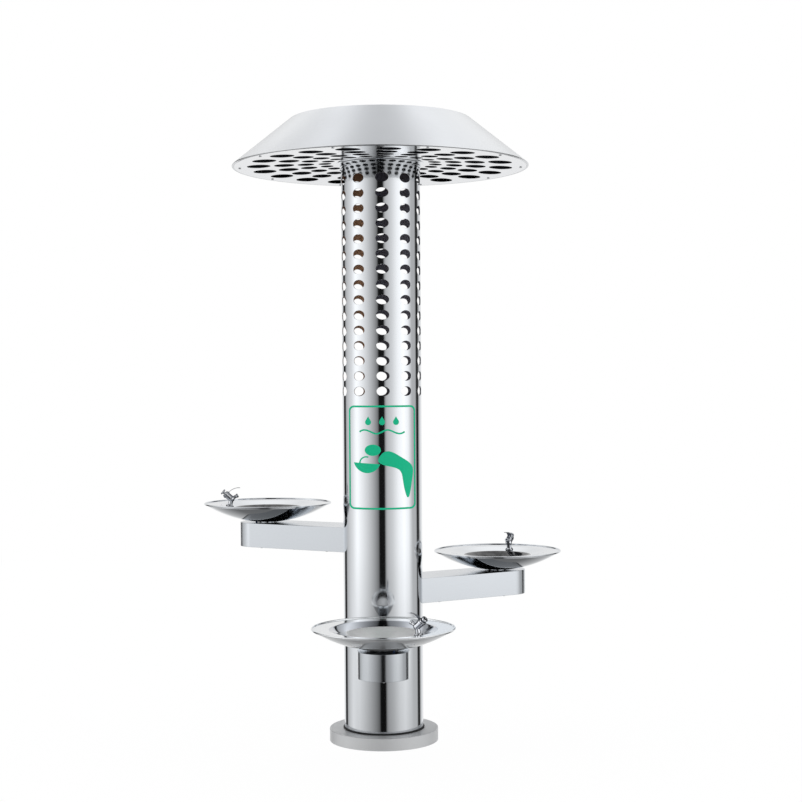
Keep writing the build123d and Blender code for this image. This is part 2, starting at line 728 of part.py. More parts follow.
def leaning(side, lean, rise=0):
    """Plane at the bubbler's root on the deck, its normal leaning away from the basin's centre."""
    radial = outward(ARMS[side][0] + BUBBLER_TURNS[side])
    root = basin_axis(side).position + radial * BUBBLER_REACH + UP * (arm_top(side) + SEAT_H + BUBBLER_LIFT)
    across = radial * cos(radians(lean)) - UP * sin(radians(lean))
    normal = radial * sin(radians(lean)) + UP * cos(radians(lean))
    return Plane(origin=root + normal * rise, x_dir=across, z_dir=normal)


def at_knuckle(side, lean, rise=0):
    """Plane at the bubbler's knuckle, its normal leaning away from the basin's centre."""
    centre = leaning(side, -DECK_SLOPE, KNUCKLE_RISE).origin
    frame = leaning(side, lean)
    return Plane(origin=centre + frame.z_dir * rise, x_dir=frame.x_dir, z_dir=frame.z_dir)


def make_basin_pan(side):
    with BuildPart() as pan:
        with BuildSketch(upright(ARMS[side][0], BASIN_REACH, arm_top(side))):
            with BuildLine():
                FilletPolyline(
                    DECK_OUTER,
                    DECK_BEND,
                    DECK_INNER,
                    SUMP_FOOT,
                    SUMP_FLAT,
                    (DRAIN_R + DRAIN_GAP, SUMP_FLAT[1]),
                    radius=SUMP_BEND_R,
                )
            trace(line_width=BASIN_SHEET)
            with Locations((BASIN_R - RIM_ROLL_R, BASIN_DEPTH - RIM_ROLL_R)):
                Circle(RIM_ROLL_R)
        revolve(axis=basin_axis(side))
        with Locations(leaning(side, -DECK_SLOPE, -3 * BASIN_SHEET)):
            peg(SHANK_R + DRAIN_GAP, 6 * BASIN_SHEET, Mode.SUBTRACT)
    return pan


def basin_level(side, height):
    """Level plane on the basin's axis, at a height above the arm's top."""
    return level(ARMS[side][0], BASIN_REACH, arm_top(side) + height)


SUMP_TOP = SUMP_FLAT[1] + BASIN_SHEET / 2


def make_drain_tail(side):
    with BuildPart() as tail:
        with Locations(basin_level(side, SUMP_TOP)):
            peg(DRAIN_FLANGE_R, DRAIN_FLANGE_T)
        with Locations(basin_level(side, DRAIN_END_H)):
            peg(DRAIN_R, SUMP_TOP - DRAIN_END_H)
            peg(DRAIN_BORE_R, SUMP_TOP - DRAIN_END_H + DRAIN_FLANGE_T, Mode.SUBTRACT)
    return tail


with BuildPart() as drain_strainers:
    for side in ARMS:
        with BuildSketch(basin_level(side, SUMP_TOP + DRAIN_FLANGE_T)):
            Circle(STRAINER_R)
            Circle(STRAINER_HOLE_R, mode=Mode.SUBTRACT)
            with PolarLocations(3 * STRAINER_HOLE_R, 6):
                Circle(STRAINER_HOLE_R, mode=Mode.SUBTRACT)
            with PolarLocations(5.5 * STRAINER_HOLE_R, 12):
                Circle(STRAINER_HOLE_R, mode=Mode.SUBTRACT)
        extrude(amount=STRAINER_T)
save(drain_strainers, "drain_strainers")

with BuildPart() as basin_spacers:
    for side in ARMS:
        with Locations(basin_level(side, BASIN_SHEET)):
            ring(SPACER_R, DRAIN_R + DRAIN_GAP, SUMP_TOP - 2 * BASIN_SHEET)
save(basin_spacers, "basin_spacers")

with BuildPart() as drain_nuts:
    for side in ARMS:
        with BuildSketch(basin_level(side, -ARM_SHEET)):
            RegularPolygon(NUT_R, 6)
            Circle(DRAIN_R + BUTTON_FIT, mode=Mode.SUBTRACT)
        extrude(amount=-NUT_T)
save(drain_nuts, "drain_nuts")

for side in ARMS:
    save(make_basin_shell(side), f"{side}_basin_shell")
    save(make_basin_pan(side), f"{side}_basin_pan")
    save(make_drain_tail(side), f"{side}_drain_tail")

# ---------------------------------------------------------------- bubblers


def make_bubbler_body(side):
    with BuildPart() as body:
        with Locations(leaning(side, -DECK_SLOPE, BUBBLER_GASKET_T)):
            peg(FOOT_FLANGE_R, FOOT_FLANGE_T)
            peg(POST_R, KNUCKLE_RISE - BUBBLER_GASKET_T)
        with Locations(leaning(side, -DECK_SLOPE, -SHANK_DROP)):
            peg(SHANK_R, SHANK_DROP + 2 * FOOT_FLANGE_T)
        with Locations(at_knuckle(side, 0)):
            Sphere(KNUCKLE_R)
        with Locations(at_knuckle(side, BARREL_LEAN)):
            peg(BARREL_R, BARREL_END)
        with Locations(at_knuckle(side, NOZZLE_LEAN)):
            peg(NOZZLE_R, NOZZLE_END)
        with Locations(at_knuckle(side, NOZZLE_LEAN, NOZZLE_END - NOZZLE_TIP_L)):
            peg(NOZZLE_TIP_R, NOZZLE_TIP_L)
        with Locations(at_knuckle(side, NOZZLE_LEAN, NOZZLE_END - NOZZLE_TIP_L)):
            peg(NOZZLE_TIP_R / 3, NOZZLE_TIP_L, Mode.SUBTRACT)
        with Locations(at_knuckle(side, BARREL_LEAN, BUTTON_BORE_FLOOR)):
            peg(BUTTON_STEM_R + BUTTON_FIT, BARREL_END - BUTTON_BORE_FLOOR, Mode.SUBTRACT)
        with Locations(leaning(side, -DECK_SLOPE, -SHANK_DROP)):
            peg(SHANK_BORE_R, SHANK_DROP, Mode.SUBTRACT)
    return body


def make_push_button(side):
    with BuildPart() as button:
        with Locations(at_knuckle(side, BARREL_LEAN, BUTTON_STEM_END)):
            peg(BUTTON_STEM_R, BARREL_END + BUTTON_GAP - BUTTON_STEM_END)
        with BuildSketch(at_knuckle(side, BARREL_LEAN, BARREL_END + BUTTON_GAP)):
            Circle(BUTTON_CAP_R)
        extrude(amount=BUTTON_CAP_T)
        crown = button.faces().filter_by(GeomType.PLANE).sort_by(Axis.Z)[-1]
        fillet(crown.edges(), BUTTON_CAP_T * 0.6)
    return button


def make_button_spring(side):
    floor = BUTTON_BORE_FLOOR + 1.5 * SPRING_WIRE_R
    length = BUTTON_STEM_END - BUTTON_BORE_FLOOR - 3 * SPRING_WIRE_R
    base = at_knuckle(side, BARREL_LEAN, floor)
    with BuildPart() as spring:
        with BuildLine() as coil:
            Helix(SPRING_PITCH, length, SPRING_R, center=base.origin, direction=base.z_dir)
        with BuildSketch(Plane(origin=coil.line @ 0, z_dir=coil.line % 0)):
            Circle(SPRING_WIRE_R)
        sweep(path=coil.line, is_frenet=True)
    return spring


def make_mouth_guard(side):
    """Strap over the nozzle, with its root inside the wall of a ring that clips round the barrel."""
    radial = outward(ARMS[side][0] + BUBBLER_TURNS[side])
    foot = leaning(side, 0).origin
    ring_spot = at_knuckle(side, BARREL_LEAN, GUARD_RING_LOW + GUARD_RING_H / 2)
    wall_r = BARREL_R + GUARD_GAP + GUARD_RING_WALL / 2
    root = ring_spot.origin - ring_spot.x_dir * wall_r - foot
    with BuildPart() as guard:
        with BuildSketch(Plane(origin=foot, x_dir=radial, z_dir=radial.cross(UP))):
            with BuildLine():
                ThreePointArc((root.dot(radial), root.Z), GUARD_CREST, GUARD_TIP)
            trace(line_width=GUARD_T)
        extrude(amount=GUARD_WIDTH / 2, both=True)
        with Locations(at_knuckle(side, BARREL_LEAN, GUARD_RING_LOW)):
            peg(BARREL_R + GUARD_GAP + GUARD_RING_WALL, GUARD_RING_H)
        with Locations(at_knuckle(side, BARREL_LEAN)):
            peg(BARREL_R + GUARD_GAP, 2 * BARREL_END, Mode.SUBTRACT)
    return guard


with BuildPart() as bubbler_gaskets:
    for side in ARMS:
        with Locations(leaning(side, -DECK_SLOPE)):
            ring(FOOT_FLANGE_R + 0.5, SHANK_R + DRAIN_GAP, BUBBLER_GASKET_T)
save(bubbler_gaskets, "bubbler_gaskets")

with BuildPart() as bubbler_locknuts:
    for side in ARMS:
        with BuildSketch(leaning(side, -DECK_SLOPE, -BASIN_SHEET - BUBBLER_LIFT - PIN_FIT)):
            RegularPolygon(2 * SHANK_R, 6)
            Circle(SHANK_R + BUTTON_FIT, mode=Mode.SUBTRACT)
        extrude(amount=-LOCKNUT_T)
save(bubbler_locknuts, "bubbler_locknuts")

for side in ARMS:
    save(make_bubbler_body(side), f"{side}_bubbler_body")
    save(make_push_button(side), f"{side}_push_button")
    save(make_button_spring(side), f"{side}_button_spring")
    save(make_mouth_guard(side), f"{side}_mouth_guard")

# ---------------------------------------------------------------- plumbing

LEFT_TOP = arm_top("left")

with BuildPart() as drain_stack:
    with Locations((0, 0, PIPE_END_Z)):
        peg(STACK_R, LEFT_TOP - PIPE_END_Z)
    with Locations((0, 0, PIPE_STOP_Z)):
        peg(STACK_R + PIPE_STOP_T, PIPE_STOP_H)
    for side in ARMS:
        with Locations(facing(ARMS[side][0], 0, arm_top(side) - BRANCH_DROP)):
            peg(SOCKET_R, SOCKET_END)
    with Locations((0, 0, PIPE_END_Z)):
        peg(STACK_R - STACK_WALL, LEFT_TOP - PIPE_END_Z - STACK_WALL, Mode.SUBTRACT)
    for side in ARMS:
        with Locations(facing(ARMS[side][0], 0, arm_top(side) - BRANCH_DROP)):
            peg(BRANCH_R - BRANCH_WALL, SOCKET_END, Mode.SUBTRACT)
        with Locations(facing(ARMS[side][0], SOCKET_END - SOCKET_DEPTH, arm_top(side) - BRANCH_DROP)):
            peg(BRANCH_R + SOCKET_GAP, SOCKET_DEPTH, Mode.SUBTRACT)
save(drain_stack, "drain_stack")

with BuildPart() as drain_branches:
    for side in ARMS:
        start_r = SOCKET_END - SOCKET_DEPTH + 1
        with BuildLine(upright(ARMS[side][0], 0, arm_top(side))) as path:
            FilletPolyline(
                (start_r, -BRANCH_DROP),
                (BASIN_REACH, -BRANCH_DROP),
                (BASIN_REACH, DRAIN_END_H + 10),
                radius=BRANCH_BEND_R,
            )
        with BuildSketch(facing(ARMS[side][0], start_r, arm_top(side) - BRANCH_DROP)):
            Circle(BRANCH_R)
            Circle(BRANCH_R - BRANCH_WALL, mode=Mode.SUBTRACT)
        sweep(path=path.line)
save(drain_branches, "drain_branches")

RISER = (0, -RISER_REACH)
OUTLETS = {"left": ARMS["left"][0], "right": ARMS["right"][0], "front": 90}

with BuildPart() as inlet_pipe:
    with Locations((*RISER, PIPE_STOP_Z)):
        peg(RISER_R + PIPE_STOP_T, PIPE_STOP_H)
    with Locations((*RISER, PIPE_END_Z)):
        ring(RISER_R, RISER_R - RISER_WALL, VALVE_Z - VALVE_HALF + VALVE_SOCKET - 1 - PIPE_END_Z)
save(inlet_pipe, "inlet_pipe")


def outlet_plane(side, reach=0):
    """Plane on the riser's axis that faces along an outlet."""
    out = outward(OUTLETS[side])
    origin = Vector(*RISER, arm_top(side) - HOSE_DROP) + out * reach
    return Plane(origin=origin, x_dir=UP.cross(out), z_dir=out)


with BuildPart() as supply_riser:
    foot_z = VALVE_Z + VALVE_HALF - VALVE_SOCKET + 1
    with Locations((*RISER, foot_z)):
        peg(RISER_R, LEFT_TOP - foot_z)
    for side in ARMS:
        with Locations(outlet_plane(side)):
            peg(OUTLET_R, RISER_R + OUTLET_L)
    with Locations((*RISER, foot_z)):
        peg(RISER_R - RISER_WALL, LEFT_TOP - foot_z - RISER_WALL, Mode.SUBTRACT)
    for side in ARMS:
        with Locations(outlet_plane(side)):
            peg(HOSE_R + SOCKET_GAP, RISER_R + OUTLET_L, Mode.SUBTRACT)
save(supply_riser, "supply_riser")

with BuildPart() as valve_body:
    with Locations((*RISER, VALVE_Z - VALVE_HALF)):
        peg(VALVE_R, 2 * VALVE_HALF)
    with Locations(Plane(origin=(*RISER, VALVE_Z), z_dir=(0, 1, 0))):
        peg(STEM_BOSS_R, STEM_BOSS_END)
        peg(STEM_R, STEM_END)
    for z in (VALVE_Z - VALVE_HALF, VALVE_Z + VALVE_HALF - VALVE_SOCKET):
        with Locations((*RISER, z)):
            peg(RISER_R + BUTTON_FIT, VALVE_SOCKET, Mode.SUBTRACT)
    with Locations((*RISER, VALVE_Z - VALVE_HALF)):
        peg(RISER_R - RISER_WALL, 2 * VALVE_HALF, Mode.SUBTRACT)
save(valve_body, "valve_body")

with BuildPart() as valve_handle:
    handle_y = -RISER_REACH + STEM_BOSS_END + GASKET_GAP
    with BuildSketch(Plane(origin=(0, handle_y, VALVE_Z), x_dir=(-1, 0, 0), z_dir=(0, 1, 0))):
        Circle(LEVER_HUB_R)
        with Locations((0, LEVER_L / 2)):
            SlotOverall(LEVER_L + LEVER_W / 2, LEVER_W, rotation=90)
        Circle(STEM_R + BUTTON_FIT, mode=Mode.SUBTRACT)
    extrude(amount=LEVER_T)
save(valve_handle, "valve_handle")


def hose_start(side):
    """The hose's first points inside the column, in the arm's plan."""
    plane = level(ARMS[side][0], 0, arm_top(side))
    stub = plane.to_local_coords(outlet_plane(side, RISER_R + OUTLET_L - 4).origin)
    if side == "front":
        clear = -RISER_REACH
        return [
            (stub.X, stub.Y),
            (stub.X, clear),
            (HOSE_FRONT_TURN_REACH, clear),
            (COLUMN_R, HOSE_SIDE),
            HOSE_BESIDE,
        ]
    turn = 1 if stub.Y > 0 else -1
    return [(stub.X, stub.Y), (HOSE_TURN_REACH, stub.Y), (COLUMN_R, HOSE_SIDE * turn), HOSE_BESIDE]


def make_supply_hose(side):
    turn = radians(BUBBLER_TURNS[side])
    rise_x, rise_y = hose_spot(side)

    def over_basin(reach, height):
        return (BASIN_REACH + reach * cos(turn), reach * sin(turn), height)

    flat = [(x, y, -HOSE_DROP) for x, y in hose_start(side)]
    rise = [
        (rise_x - HOSE_LEAD, rise_y, -HOSE_DROP),
        (rise_x, rise_y, -HOSE_DROP),
        (rise_x, rise_y, HOSE_TOP_BEND),
    ]
    lean = radians(DECK_SLOPE)
    shank = [
        over_basin(BUBBLER_REACH + drop * sin(lean), SEAT_H + BUBBLER_LIFT - drop * cos(lean))
        for drop in HOSE_SHANK_DROPS
    ]
    points = flat + rise + [over_basin(*HOSE_UNDER_PAN)] + shank
    plane = level(ARMS[side][0], 0, arm_top(side))
    with BuildPart() as hose:
        with BuildLine(plane) as path:
            FilletPolyline(*points, radius=HOSE_BEND_R)
        with BuildSketch(Plane(origin=path.line @ 0, z_dir=path.line % 0)):
            Circle(HOSE_R)
        sweep(path=path.line)
    return hose


for side in ARMS:
    save(make_supply_hose(side), f"{side}_supply_hose")

# ---------------------------------------------------------------- sign


with BuildPart() as sign_decal:
    with Locations((0, 0, SIGN_LOW_Z)):
        ring(COLUMN_R + SIGN_FILM, COLUMN_R, SIGN_H)
    with BuildSketch(Plane.XZ):
        with Locations((0, SIGN_LOW_Z + SIGN_H / 2)):
            RectangleRounded(2 * SIGN_HALF_W, SIGN_H, SIGN_CORNER_R)
            RectangleRounded(
                2 * (SIGN_HALF_W - SIGN_SIDE_STROKE),
                SIGN_H - 2 * SIGN_STROKE,
                SIGN_CORNER_R - SIGN_SIDE_STROKE,
                mode=Mode.SUBTRACT,
            )
        # A row of drops over a wave stands where a sign would carry words.
        for x in (-DROP_PITCH, 0, DROP_PITCH):
            with BuildLine():
                round_end = CenterArc((x, DROP_Z), DROP_R, 148, 244)
                Line(round_end @ 0, (x, DROP_Z + DROP_TIP))
                Line(round_end @ 1, (x, DROP_Z + DROP_TIP))
            make_face()
        with BuildLine():
            Spline(*[(WAVE_STEP * k, WAVE_Z + WAVE_RISE * sin(k * pi / 2)) for k in range(-4, 5)])
        trace(line_width=WAVE_STROKE)
        # Drinker: head, bent back and leg.
        with Locations((-35, 1106)):
            Ellipse(30, 21)
        with BuildLine():
            Spline(
                (-14, 1074), (20, 1102), (73, 1078), (112, 1044), (112, 1000), (95, 928),
                (78, 985), (64, 1031), (28, 1045), (-2, 1054), periodic=True,
            )
        make_face()
        # Basin with its jet.
        with BuildLine():
            rim = Line((-106, 1060), (-8, 1054))
            ThreePointArc(rim @ 0, (-52, 1021), rim @ 1)
        make_face()
        with BuildLine():
            ThreePointArc((-84, 1058), (-72, 1078), (-52, 1080))
        trace(line_width=JET_STROKE)
    extrude(amount=COLUMN_R + CUT_PAST, mode=Mode.INTERSECT)
save(sign_decal, "sign_decal")
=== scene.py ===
import json
from math import asin, atan2, cos, degrees, pi, radians, sin, sqrt, tan

import bmesh
import bpy
from mathutils import Matrix, Vector


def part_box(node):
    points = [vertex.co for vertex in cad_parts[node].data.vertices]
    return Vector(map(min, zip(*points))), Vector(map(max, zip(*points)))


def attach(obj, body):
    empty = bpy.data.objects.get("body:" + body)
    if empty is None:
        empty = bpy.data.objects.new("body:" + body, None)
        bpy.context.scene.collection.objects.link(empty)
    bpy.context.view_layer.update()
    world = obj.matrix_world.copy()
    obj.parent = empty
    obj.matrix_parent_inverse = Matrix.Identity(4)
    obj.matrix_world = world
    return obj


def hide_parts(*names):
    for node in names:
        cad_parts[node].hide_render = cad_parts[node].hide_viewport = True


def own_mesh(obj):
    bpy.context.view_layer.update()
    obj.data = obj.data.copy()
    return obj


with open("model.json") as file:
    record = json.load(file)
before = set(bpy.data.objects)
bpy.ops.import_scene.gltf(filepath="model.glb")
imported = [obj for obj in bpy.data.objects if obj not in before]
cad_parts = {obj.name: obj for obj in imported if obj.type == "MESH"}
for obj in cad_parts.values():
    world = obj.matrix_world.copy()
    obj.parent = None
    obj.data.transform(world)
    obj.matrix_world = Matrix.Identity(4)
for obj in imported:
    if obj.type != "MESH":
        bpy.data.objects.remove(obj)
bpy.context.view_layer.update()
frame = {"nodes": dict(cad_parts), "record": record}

BODY = "fountain"
SIDES = {"left": -120, "right": 120, "front": 0}  # azimuth of each arm, from -Y towards +X


# ---------------------------------------------------------------- camera, floor and light

SENSOR_WIDTH = 36  # millimetres
FOCAL_SHARE = 1.9358  # focal length as a share of the sensor's width
CAMERA_BACK = 5.903
CAMERA_HEIGHT = 1.353
CAMERA_YAW = radians(0.705)
CAMERA_PITCH = radians(0.647)
CAMERA_ROLL = radians(-0.372)


def make_camera():
    data = bpy.data.cameras.new("camera")
    data.sensor_width = SENSOR_WIDTH
    data.lens = FOCAL_SHARE * data.sensor_width
    camera = bpy.data.objects.new("camera", data)
    bpy.context.scene.collection.objects.link(camera)
    right = Vector((cos(CAMERA_YAW), -sin(CAMERA_YAW), 0))
    level = Vector((sin(CAMERA_YAW), cos(CAMERA_YAW), 0))
    forward = level * cos(CAMERA_PITCH) - Vector((0, 0, sin(CAMERA_PITCH)))
    up = level * sin(CAMERA_PITCH) + Vector((0, 0, cos(CAMERA_PITCH)))
    axis_x = right * cos(CAMERA_ROLL) + up * sin(CAMERA_ROLL)
    axis_y = up * cos(CAMERA_ROLL) - right * sin(CAMERA_ROLL)
    turn = Matrix((axis_x, axis_y, -forward)).transposed()
    camera.matrix_world = Matrix.Translation((0, -CAMERA_BACK, CAMERA_HEIGHT)) @ turn.to_4x4()
    bpy.context.scene.camera = camera


def srgb(level):
    """Linear light of a display level from 0 to 1."""
    return level / 12.92 if level <= 0.04045 else ((level + 0.055) / 1.055) ** 2.4


class Nodes:
    """Small helper that adds and links shader nodes, in a tree that it empties first unless told to keep."""

    def __init__(self, tree, keep=False):
        self.tree = tree
        if not keep:
            tree.nodes.clear()

    def add(self, kind, inputs=None, **settings):
        node = self.tree.nodes.new(kind)
        for name, value in settings.items():
            setattr(node, name, value)
        for name, value in (inputs or {}).items():
            socket = node.inputs[name]
            if isinstance(value, bpy.types.NodeSocket):
                self.tree.links.new(value, socket)
            else:
                socket.default_value = value
        return node

    def math(self, operation, a, b=0.0, clamp=False):
        return self.add("ShaderNodeMath", {0: a, 1: b}, operation=operation, use_clamp=clamp).outputs[0]

    def ramp(self, factor, stops, mode="LINEAR"):
        """Colour ramp; a stop is (place, grey) or (place, (r, g, b))."""
        node = self.add("ShaderNodeValToRGB", {"Fac": factor})
        node.color_ramp.interpolation = mode
        elements = node.color_ramp.elements
        while len(elements) < len(stops):
            elements.new(0.5)
        for element, (place, colour) in zip(elements, stops):
            element.position = place
            rgb = colour if isinstance(colour, tuple) else (colour, colour, colour)
            element.color = (*rgb, 1)
        return node.outputs["Color"]

    def mix(self, factor, a, b, blend="MIX"):
        node = self.add("ShaderNodeMix", data_type="RGBA", blend_type=blend)
        for index, value in ((0, factor), (6, a), (7, b)):
            socket = node.inputs[index]
            if isinstance(value, bpy.types.NodeSocket):
                self.tree.links.new(value, socket)
            else:
                socket.default_value = value
        return node.outputs[2]


# What stands round the object, as (degrees from the camera towards +X, display level): a dark strip
# behind the camera, grey wings beside it, white walls, and two thin dark gaps behind the object.
SURROUND = (
    (-180, 1.0), (-152, 1.0), (-144, 0.12), (-134, 0.12), (-126, 0.80), (-100, 0.98), (-76, 0.98),
    (-60, 0.90), (-40, 0.77), (-22, 0.60), (-12, 0.44), (-8.5, 0.08), (6.5, 0.08), (9, 0.56),
    (14, 0.70), (30, 0.80), (48, 0.94), (66, 1.0), (84, 0.92), (98, 0.80), (114, 0.78),
    (121, 0.12), (130, 0.12), (137, 0.80), (150, 1.0), (180, 1.0),
)
# Share of that light at each elevation in degrees: on the camera's side of the object, and behind it.
HEIGHTS_NEAR = (
    (-90, 0.12), (-30, 0.20), (-16, 0.50), (-10.5, 0.68), (-6, 1.0), (27, 1.0), (38, 0.22), (60, 0.22),
    (68, 0.9), (90, 0.46),
)
HEIGHTS_FAR = (
    (-90, 0.13), (-45, 0.14), (-22, 0.44), (-13, 0.70), (-3, 0.70), (4, 0.66), (20, 0.66), (30, 0.80),
    (48, 0.95), (60, 1.14), (66, 0.86), (72, 0.48), (90, 0.44),
)
STEEL_GAIN = 1.28  # makes up for the share of light that polished steel soaks up
MEETING = 0.15  # the near and far profiles mix over directions whose Y lies within this of zero
POLE_START = radians(35)
POLE_FULL = radians(70)
POLE_GREY = (0.92, 0.93, 0.95, 1)
WHITE = (1, 1, 1, 1)


def make_world():
    world = bpy.data.worlds.new("studio")
    bpy.context.scene.world = world
    world.use_nodes = True
    n = Nodes(world.node_tree)
    place = n.add("ShaderNodeTexCoord").outputs["Generated"]
    split = n.add("ShaderNodeSeparateXYZ", {0: place}).outputs
    back = n.math("MULTIPLY", split["Y"], -1.0)
    azimuth = n.math("ARCTAN2", split["X"], back)
    share = n.math("MULTIPLY_ADD", azimuth, 1 / (2 * pi))
    share.node.inputs[2].default_value = 0.5
    stops = [((angle + 180) / 360, STEEL_GAIN * srgb(level)) for angle, level in SURROUND]
    round_light = n.ramp(share, stops)
    height = n.math("ARCSINE", split["Z"])
    rise = n.math("MULTIPLY_ADD", height, 1 / pi)
    rise.node.inputs[2].default_value = 0.5
    near = n.ramp(rise, [((angle + 90) / 180, level) for angle, level in HEIGHTS_NEAR])
    far = n.ramp(rise, [((angle + 90) / 180, level) for angle, level in HEIGHTS_FAR])
    behind = n.add("ShaderNodeMapRange", {0: split["Y"], 1: -MEETING, 2: MEETING}).outputs[0]
    fade = n.mix(behind, near, far)
    around = n.mix(1.0, round_light, fade, "MULTIPLY")
    # Straight up and down the round profile would pinch to a point, so it gives way to plain grey.
    steep = n.math("ABSOLUTE", height)
    pole = n.add("ShaderNodeMapRange", {0: steep, 1: POLE_START, 2: POLE_FULL}).outputs[0]
    plain = n.mix(1.0, POLE_GREY, fade, "MULTIPLY")
    seen = n.mix(pole, around, plain)
    camera_ray = n.add("ShaderNodeLightPath").outputs["Is Camera Ray"]
    final = n.mix(camera_ray, seen, WHITE)
    background = n.add("ShaderNodeBackground", {"Color": final, "Strength": 1.0})
    n.add("ShaderNodeOutputWorld", {"Surface": background.outputs[0]})


FLOOR_REACH = 6.0
FLOOR_PAINT = (0.9, 0.9, 0.9, 1)
FLOOR_GLOW = 1.03
GLOW_SHARE = 0.94  # the rest is painted, so that the object still throws a faint shadow


def make_floor():
    corners = [(x * FLOOR_REACH, y * FLOOR_REACH, 0) for x, y in ((-1, -1), (1, -1), (1, 1), (-1, 1))]
    mesh = bpy.data.meshes.new("floor")
    mesh.from_pydata(corners, [], [(0, 1, 2, 3)])
    floor = bpy.data.objects.new("floor", mesh)
    bpy.context.scene.collection.objects.link(floor)
    floor.visible_glossy = False
    material = bpy.data.materials.new("floor_white")
    material.use_nodes = True
    n = Nodes(material.node_tree)
    paint = n.add("ShaderNodeBsdfDiffuse", {"Color": FLOOR_PAINT})
    glow = n.add("ShaderNodeEmission", {"Color": WHITE, "Strength": FLOOR_GLOW})
    both = n.add("ShaderNodeMixShader", {0: GLOW_SHARE, 1: paint.outputs[0], 2: glow.outputs[0]})
    n.add("ShaderNodeOutputMaterial", {"Surface": both.outputs[0]})
    mesh.materials.append(material)


def set_colours():
    view = bpy.context.scene.view_settings
    view.view_transform = "Standard"
    view.look = "None"


# ---------------------------------------------------------------- mesh tools


def outward(azimuth):
    return Vector((sin(radians(azimuth)), -cos(radians(azimuth)), 0))


def frame_at(origin, z_axis, x_hint=Vector((1, 0, 0))):
    """Matrix that carries local z onto z_axis and local x as near x_hint as it can be."""
    z = Vector(z_axis).normalized()
    x = (Vector(x_hint) - z * z.dot(x_hint)).normalized()
    y = z.cross(x)
    return Matrix.Translation(origin) @ Matrix((x, y, z)).transposed().to_4x4()


def upright(azimuth, reach=0.0, z=0.0):
    """Local x runs outward along the azimuth, local z up."""
    out = outward(azimuth)
    return frame_at(out * reach + Vector((0, 0, z)), (0, 0, 1), out)


MERGE = 2e-6  # metres: corners nearer than this are one


def finish_piece(name, bm, material, sharp=32, body=BODY, at=Matrix.Identity(4), flat_first=True):
    """Turns a bmesh into a smooth-shaded piece that rides on a body; flat_first keeps large faces flat."""
    bmesh.ops.remove_doubles(bm, verts=bm.verts, dist=MERGE)
    bmesh.ops.recalc_face_normals(bm, faces=bm.faces)
    for face in bm.faces:
        face.smooth = True
    limit = radians(sharp)
    for edge in bm.edges:
        edge.smooth = len(edge.link_faces) == 2 and edge.calc_face_angle(0) < limit
    mesh = bpy.data.meshes.new(name)
    bm.to_mesh(mesh)
    bm.free()
    mesh.transform(at)
    mesh.materials.append(material)
    piece = bpy.data.objects.new(name, mesh)
    bpy.context.scene.collection.objects.link(piece)
    if flat_first:
        modifier = piece.modifiers.new("flat_first", "WEIGHTED_NORMAL")
        modifier.keep_sharp = True
    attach(piece, body)
    return piece


def spun(spoke, turn):
    """A plan direction turned anticlockwise by an angle in radians."""
    return Vector((spoke.x * cos(turn) - spoke.y * sin(turn), spoke.x * sin(turn) + spoke.y * cos(turn)))


def rounded(points, radius=0, steps=5, closed=True):
    """The outline with each corner rounded; a point may carry its own radius as a third value."""
    result = []
    count = len(points)
    for i, point in enumerate(points):
        here = Vector(point[:2])
        size = point[2] if len(point) > 2 else radius
        if size <= 0 or (not closed and i in (0, count - 1)):
            result.append(here)
            continue
        before = Vector(points[i - 1][:2]) - here
        after = Vector(points[(i + 1) % count][:2]) - here
        half = before.angle(after) / 2
        if half > pi / 2 - 0.02:
            result.append(here)
            continue
        reach = min(size / tan(half), before.length * 0.49, after.length * 0.49)
        real = reach * tan(half)
        centre = here + (before.normalized() + after.normalized()).normalized() * (real / sin(half))
        start = here + before.normalized() * reach - centre
        end = here + after.normalized() * reach - centre
        sweep = start.angle_signed(end)
        result += [centre + spun(start, -sweep * k / steps) for k in range(steps + 1)]
    return result


def arc(centre, radius, start, end, steps):
    """Points on an arc from start to end degrees."""
    turns = [radians(start + (end - start) * k / steps) for k in range(steps + 1)]
    return [Vector((centre[0] + radius * cos(t), centre[1] + radius * sin(t))) for t in turns]


def lathe_into(bm, outline, segments, at=Matrix.Identity(4), closed=True):
    """Adds the outline, as (radius, height) points, turned about local z."""
    rings = []
    for radius, height in outline:
        if radius < 1e-7:
            rings.append([bm.verts.new(at @ Vector((0, 0, height)))])
            continue
        turns = [2 * pi * k / segments for k in range(segments)]
        rings.append([bm.verts.new(at @ Vector((radius * cos(t), radius * sin(t), height))) for t in turns])
    pairs = list(zip(rings, rings[1:]))
    if closed:
        pairs.append((rings[-1], rings[0]))
    for low, high in pairs:
        for k in range(segments):
            j = (k + 1) % segments
            corners = [low[k % len(low)], low[j % len(low)], high[j % len(high)], high[k % len(high)]]
            unique = []
            for vert in corners:
                if vert not in unique:
                    unique.append(vert)
            if len(unique) > 2:
                bm.faces.new(unique)


def lathe(name, outline, material, segments=128, body=BODY, at=Matrix.Identity(4), closed=True, sharp=32):
    bm = bmesh.new()
    lathe_into(bm, outline, segments, at, closed)
    return finish_piece(name, bm, material, sharp, body)


def sheet(line, thickness):
    """Closed outline of a sheet that lies below a line of (radius, height) points."""
    offsets = []
    for i, point in enumerate(line):
        before = line[max(i - 1, 0)]
        after = line[min(i + 1, len(line) - 1)]
        along = (Vector(after) - Vector(before)).normalized()
        offsets.append(Vector(point) + Vector((along.y, -along.x)) * thickness)
    return [Vector(p) for p in line] + offsets[::-1]


def grid_into(bm, rows, wrap=False):
    """Adds quads between rows of points; each row holds the same number of points."""
    made = [[bm.verts.new(p) for p in row] for row in rows]
    for low, high in zip(made, made[1:]):
        count = len(low)
        for k in range(count if wrap else count - 1):
            j = (k + 1) % count
            bm.faces.new((low[k], low[j], high[j], high[k]))
    return made


LIP_CUT = 0.3  # where the middle of a hole's eased edge lies, as a share of its width


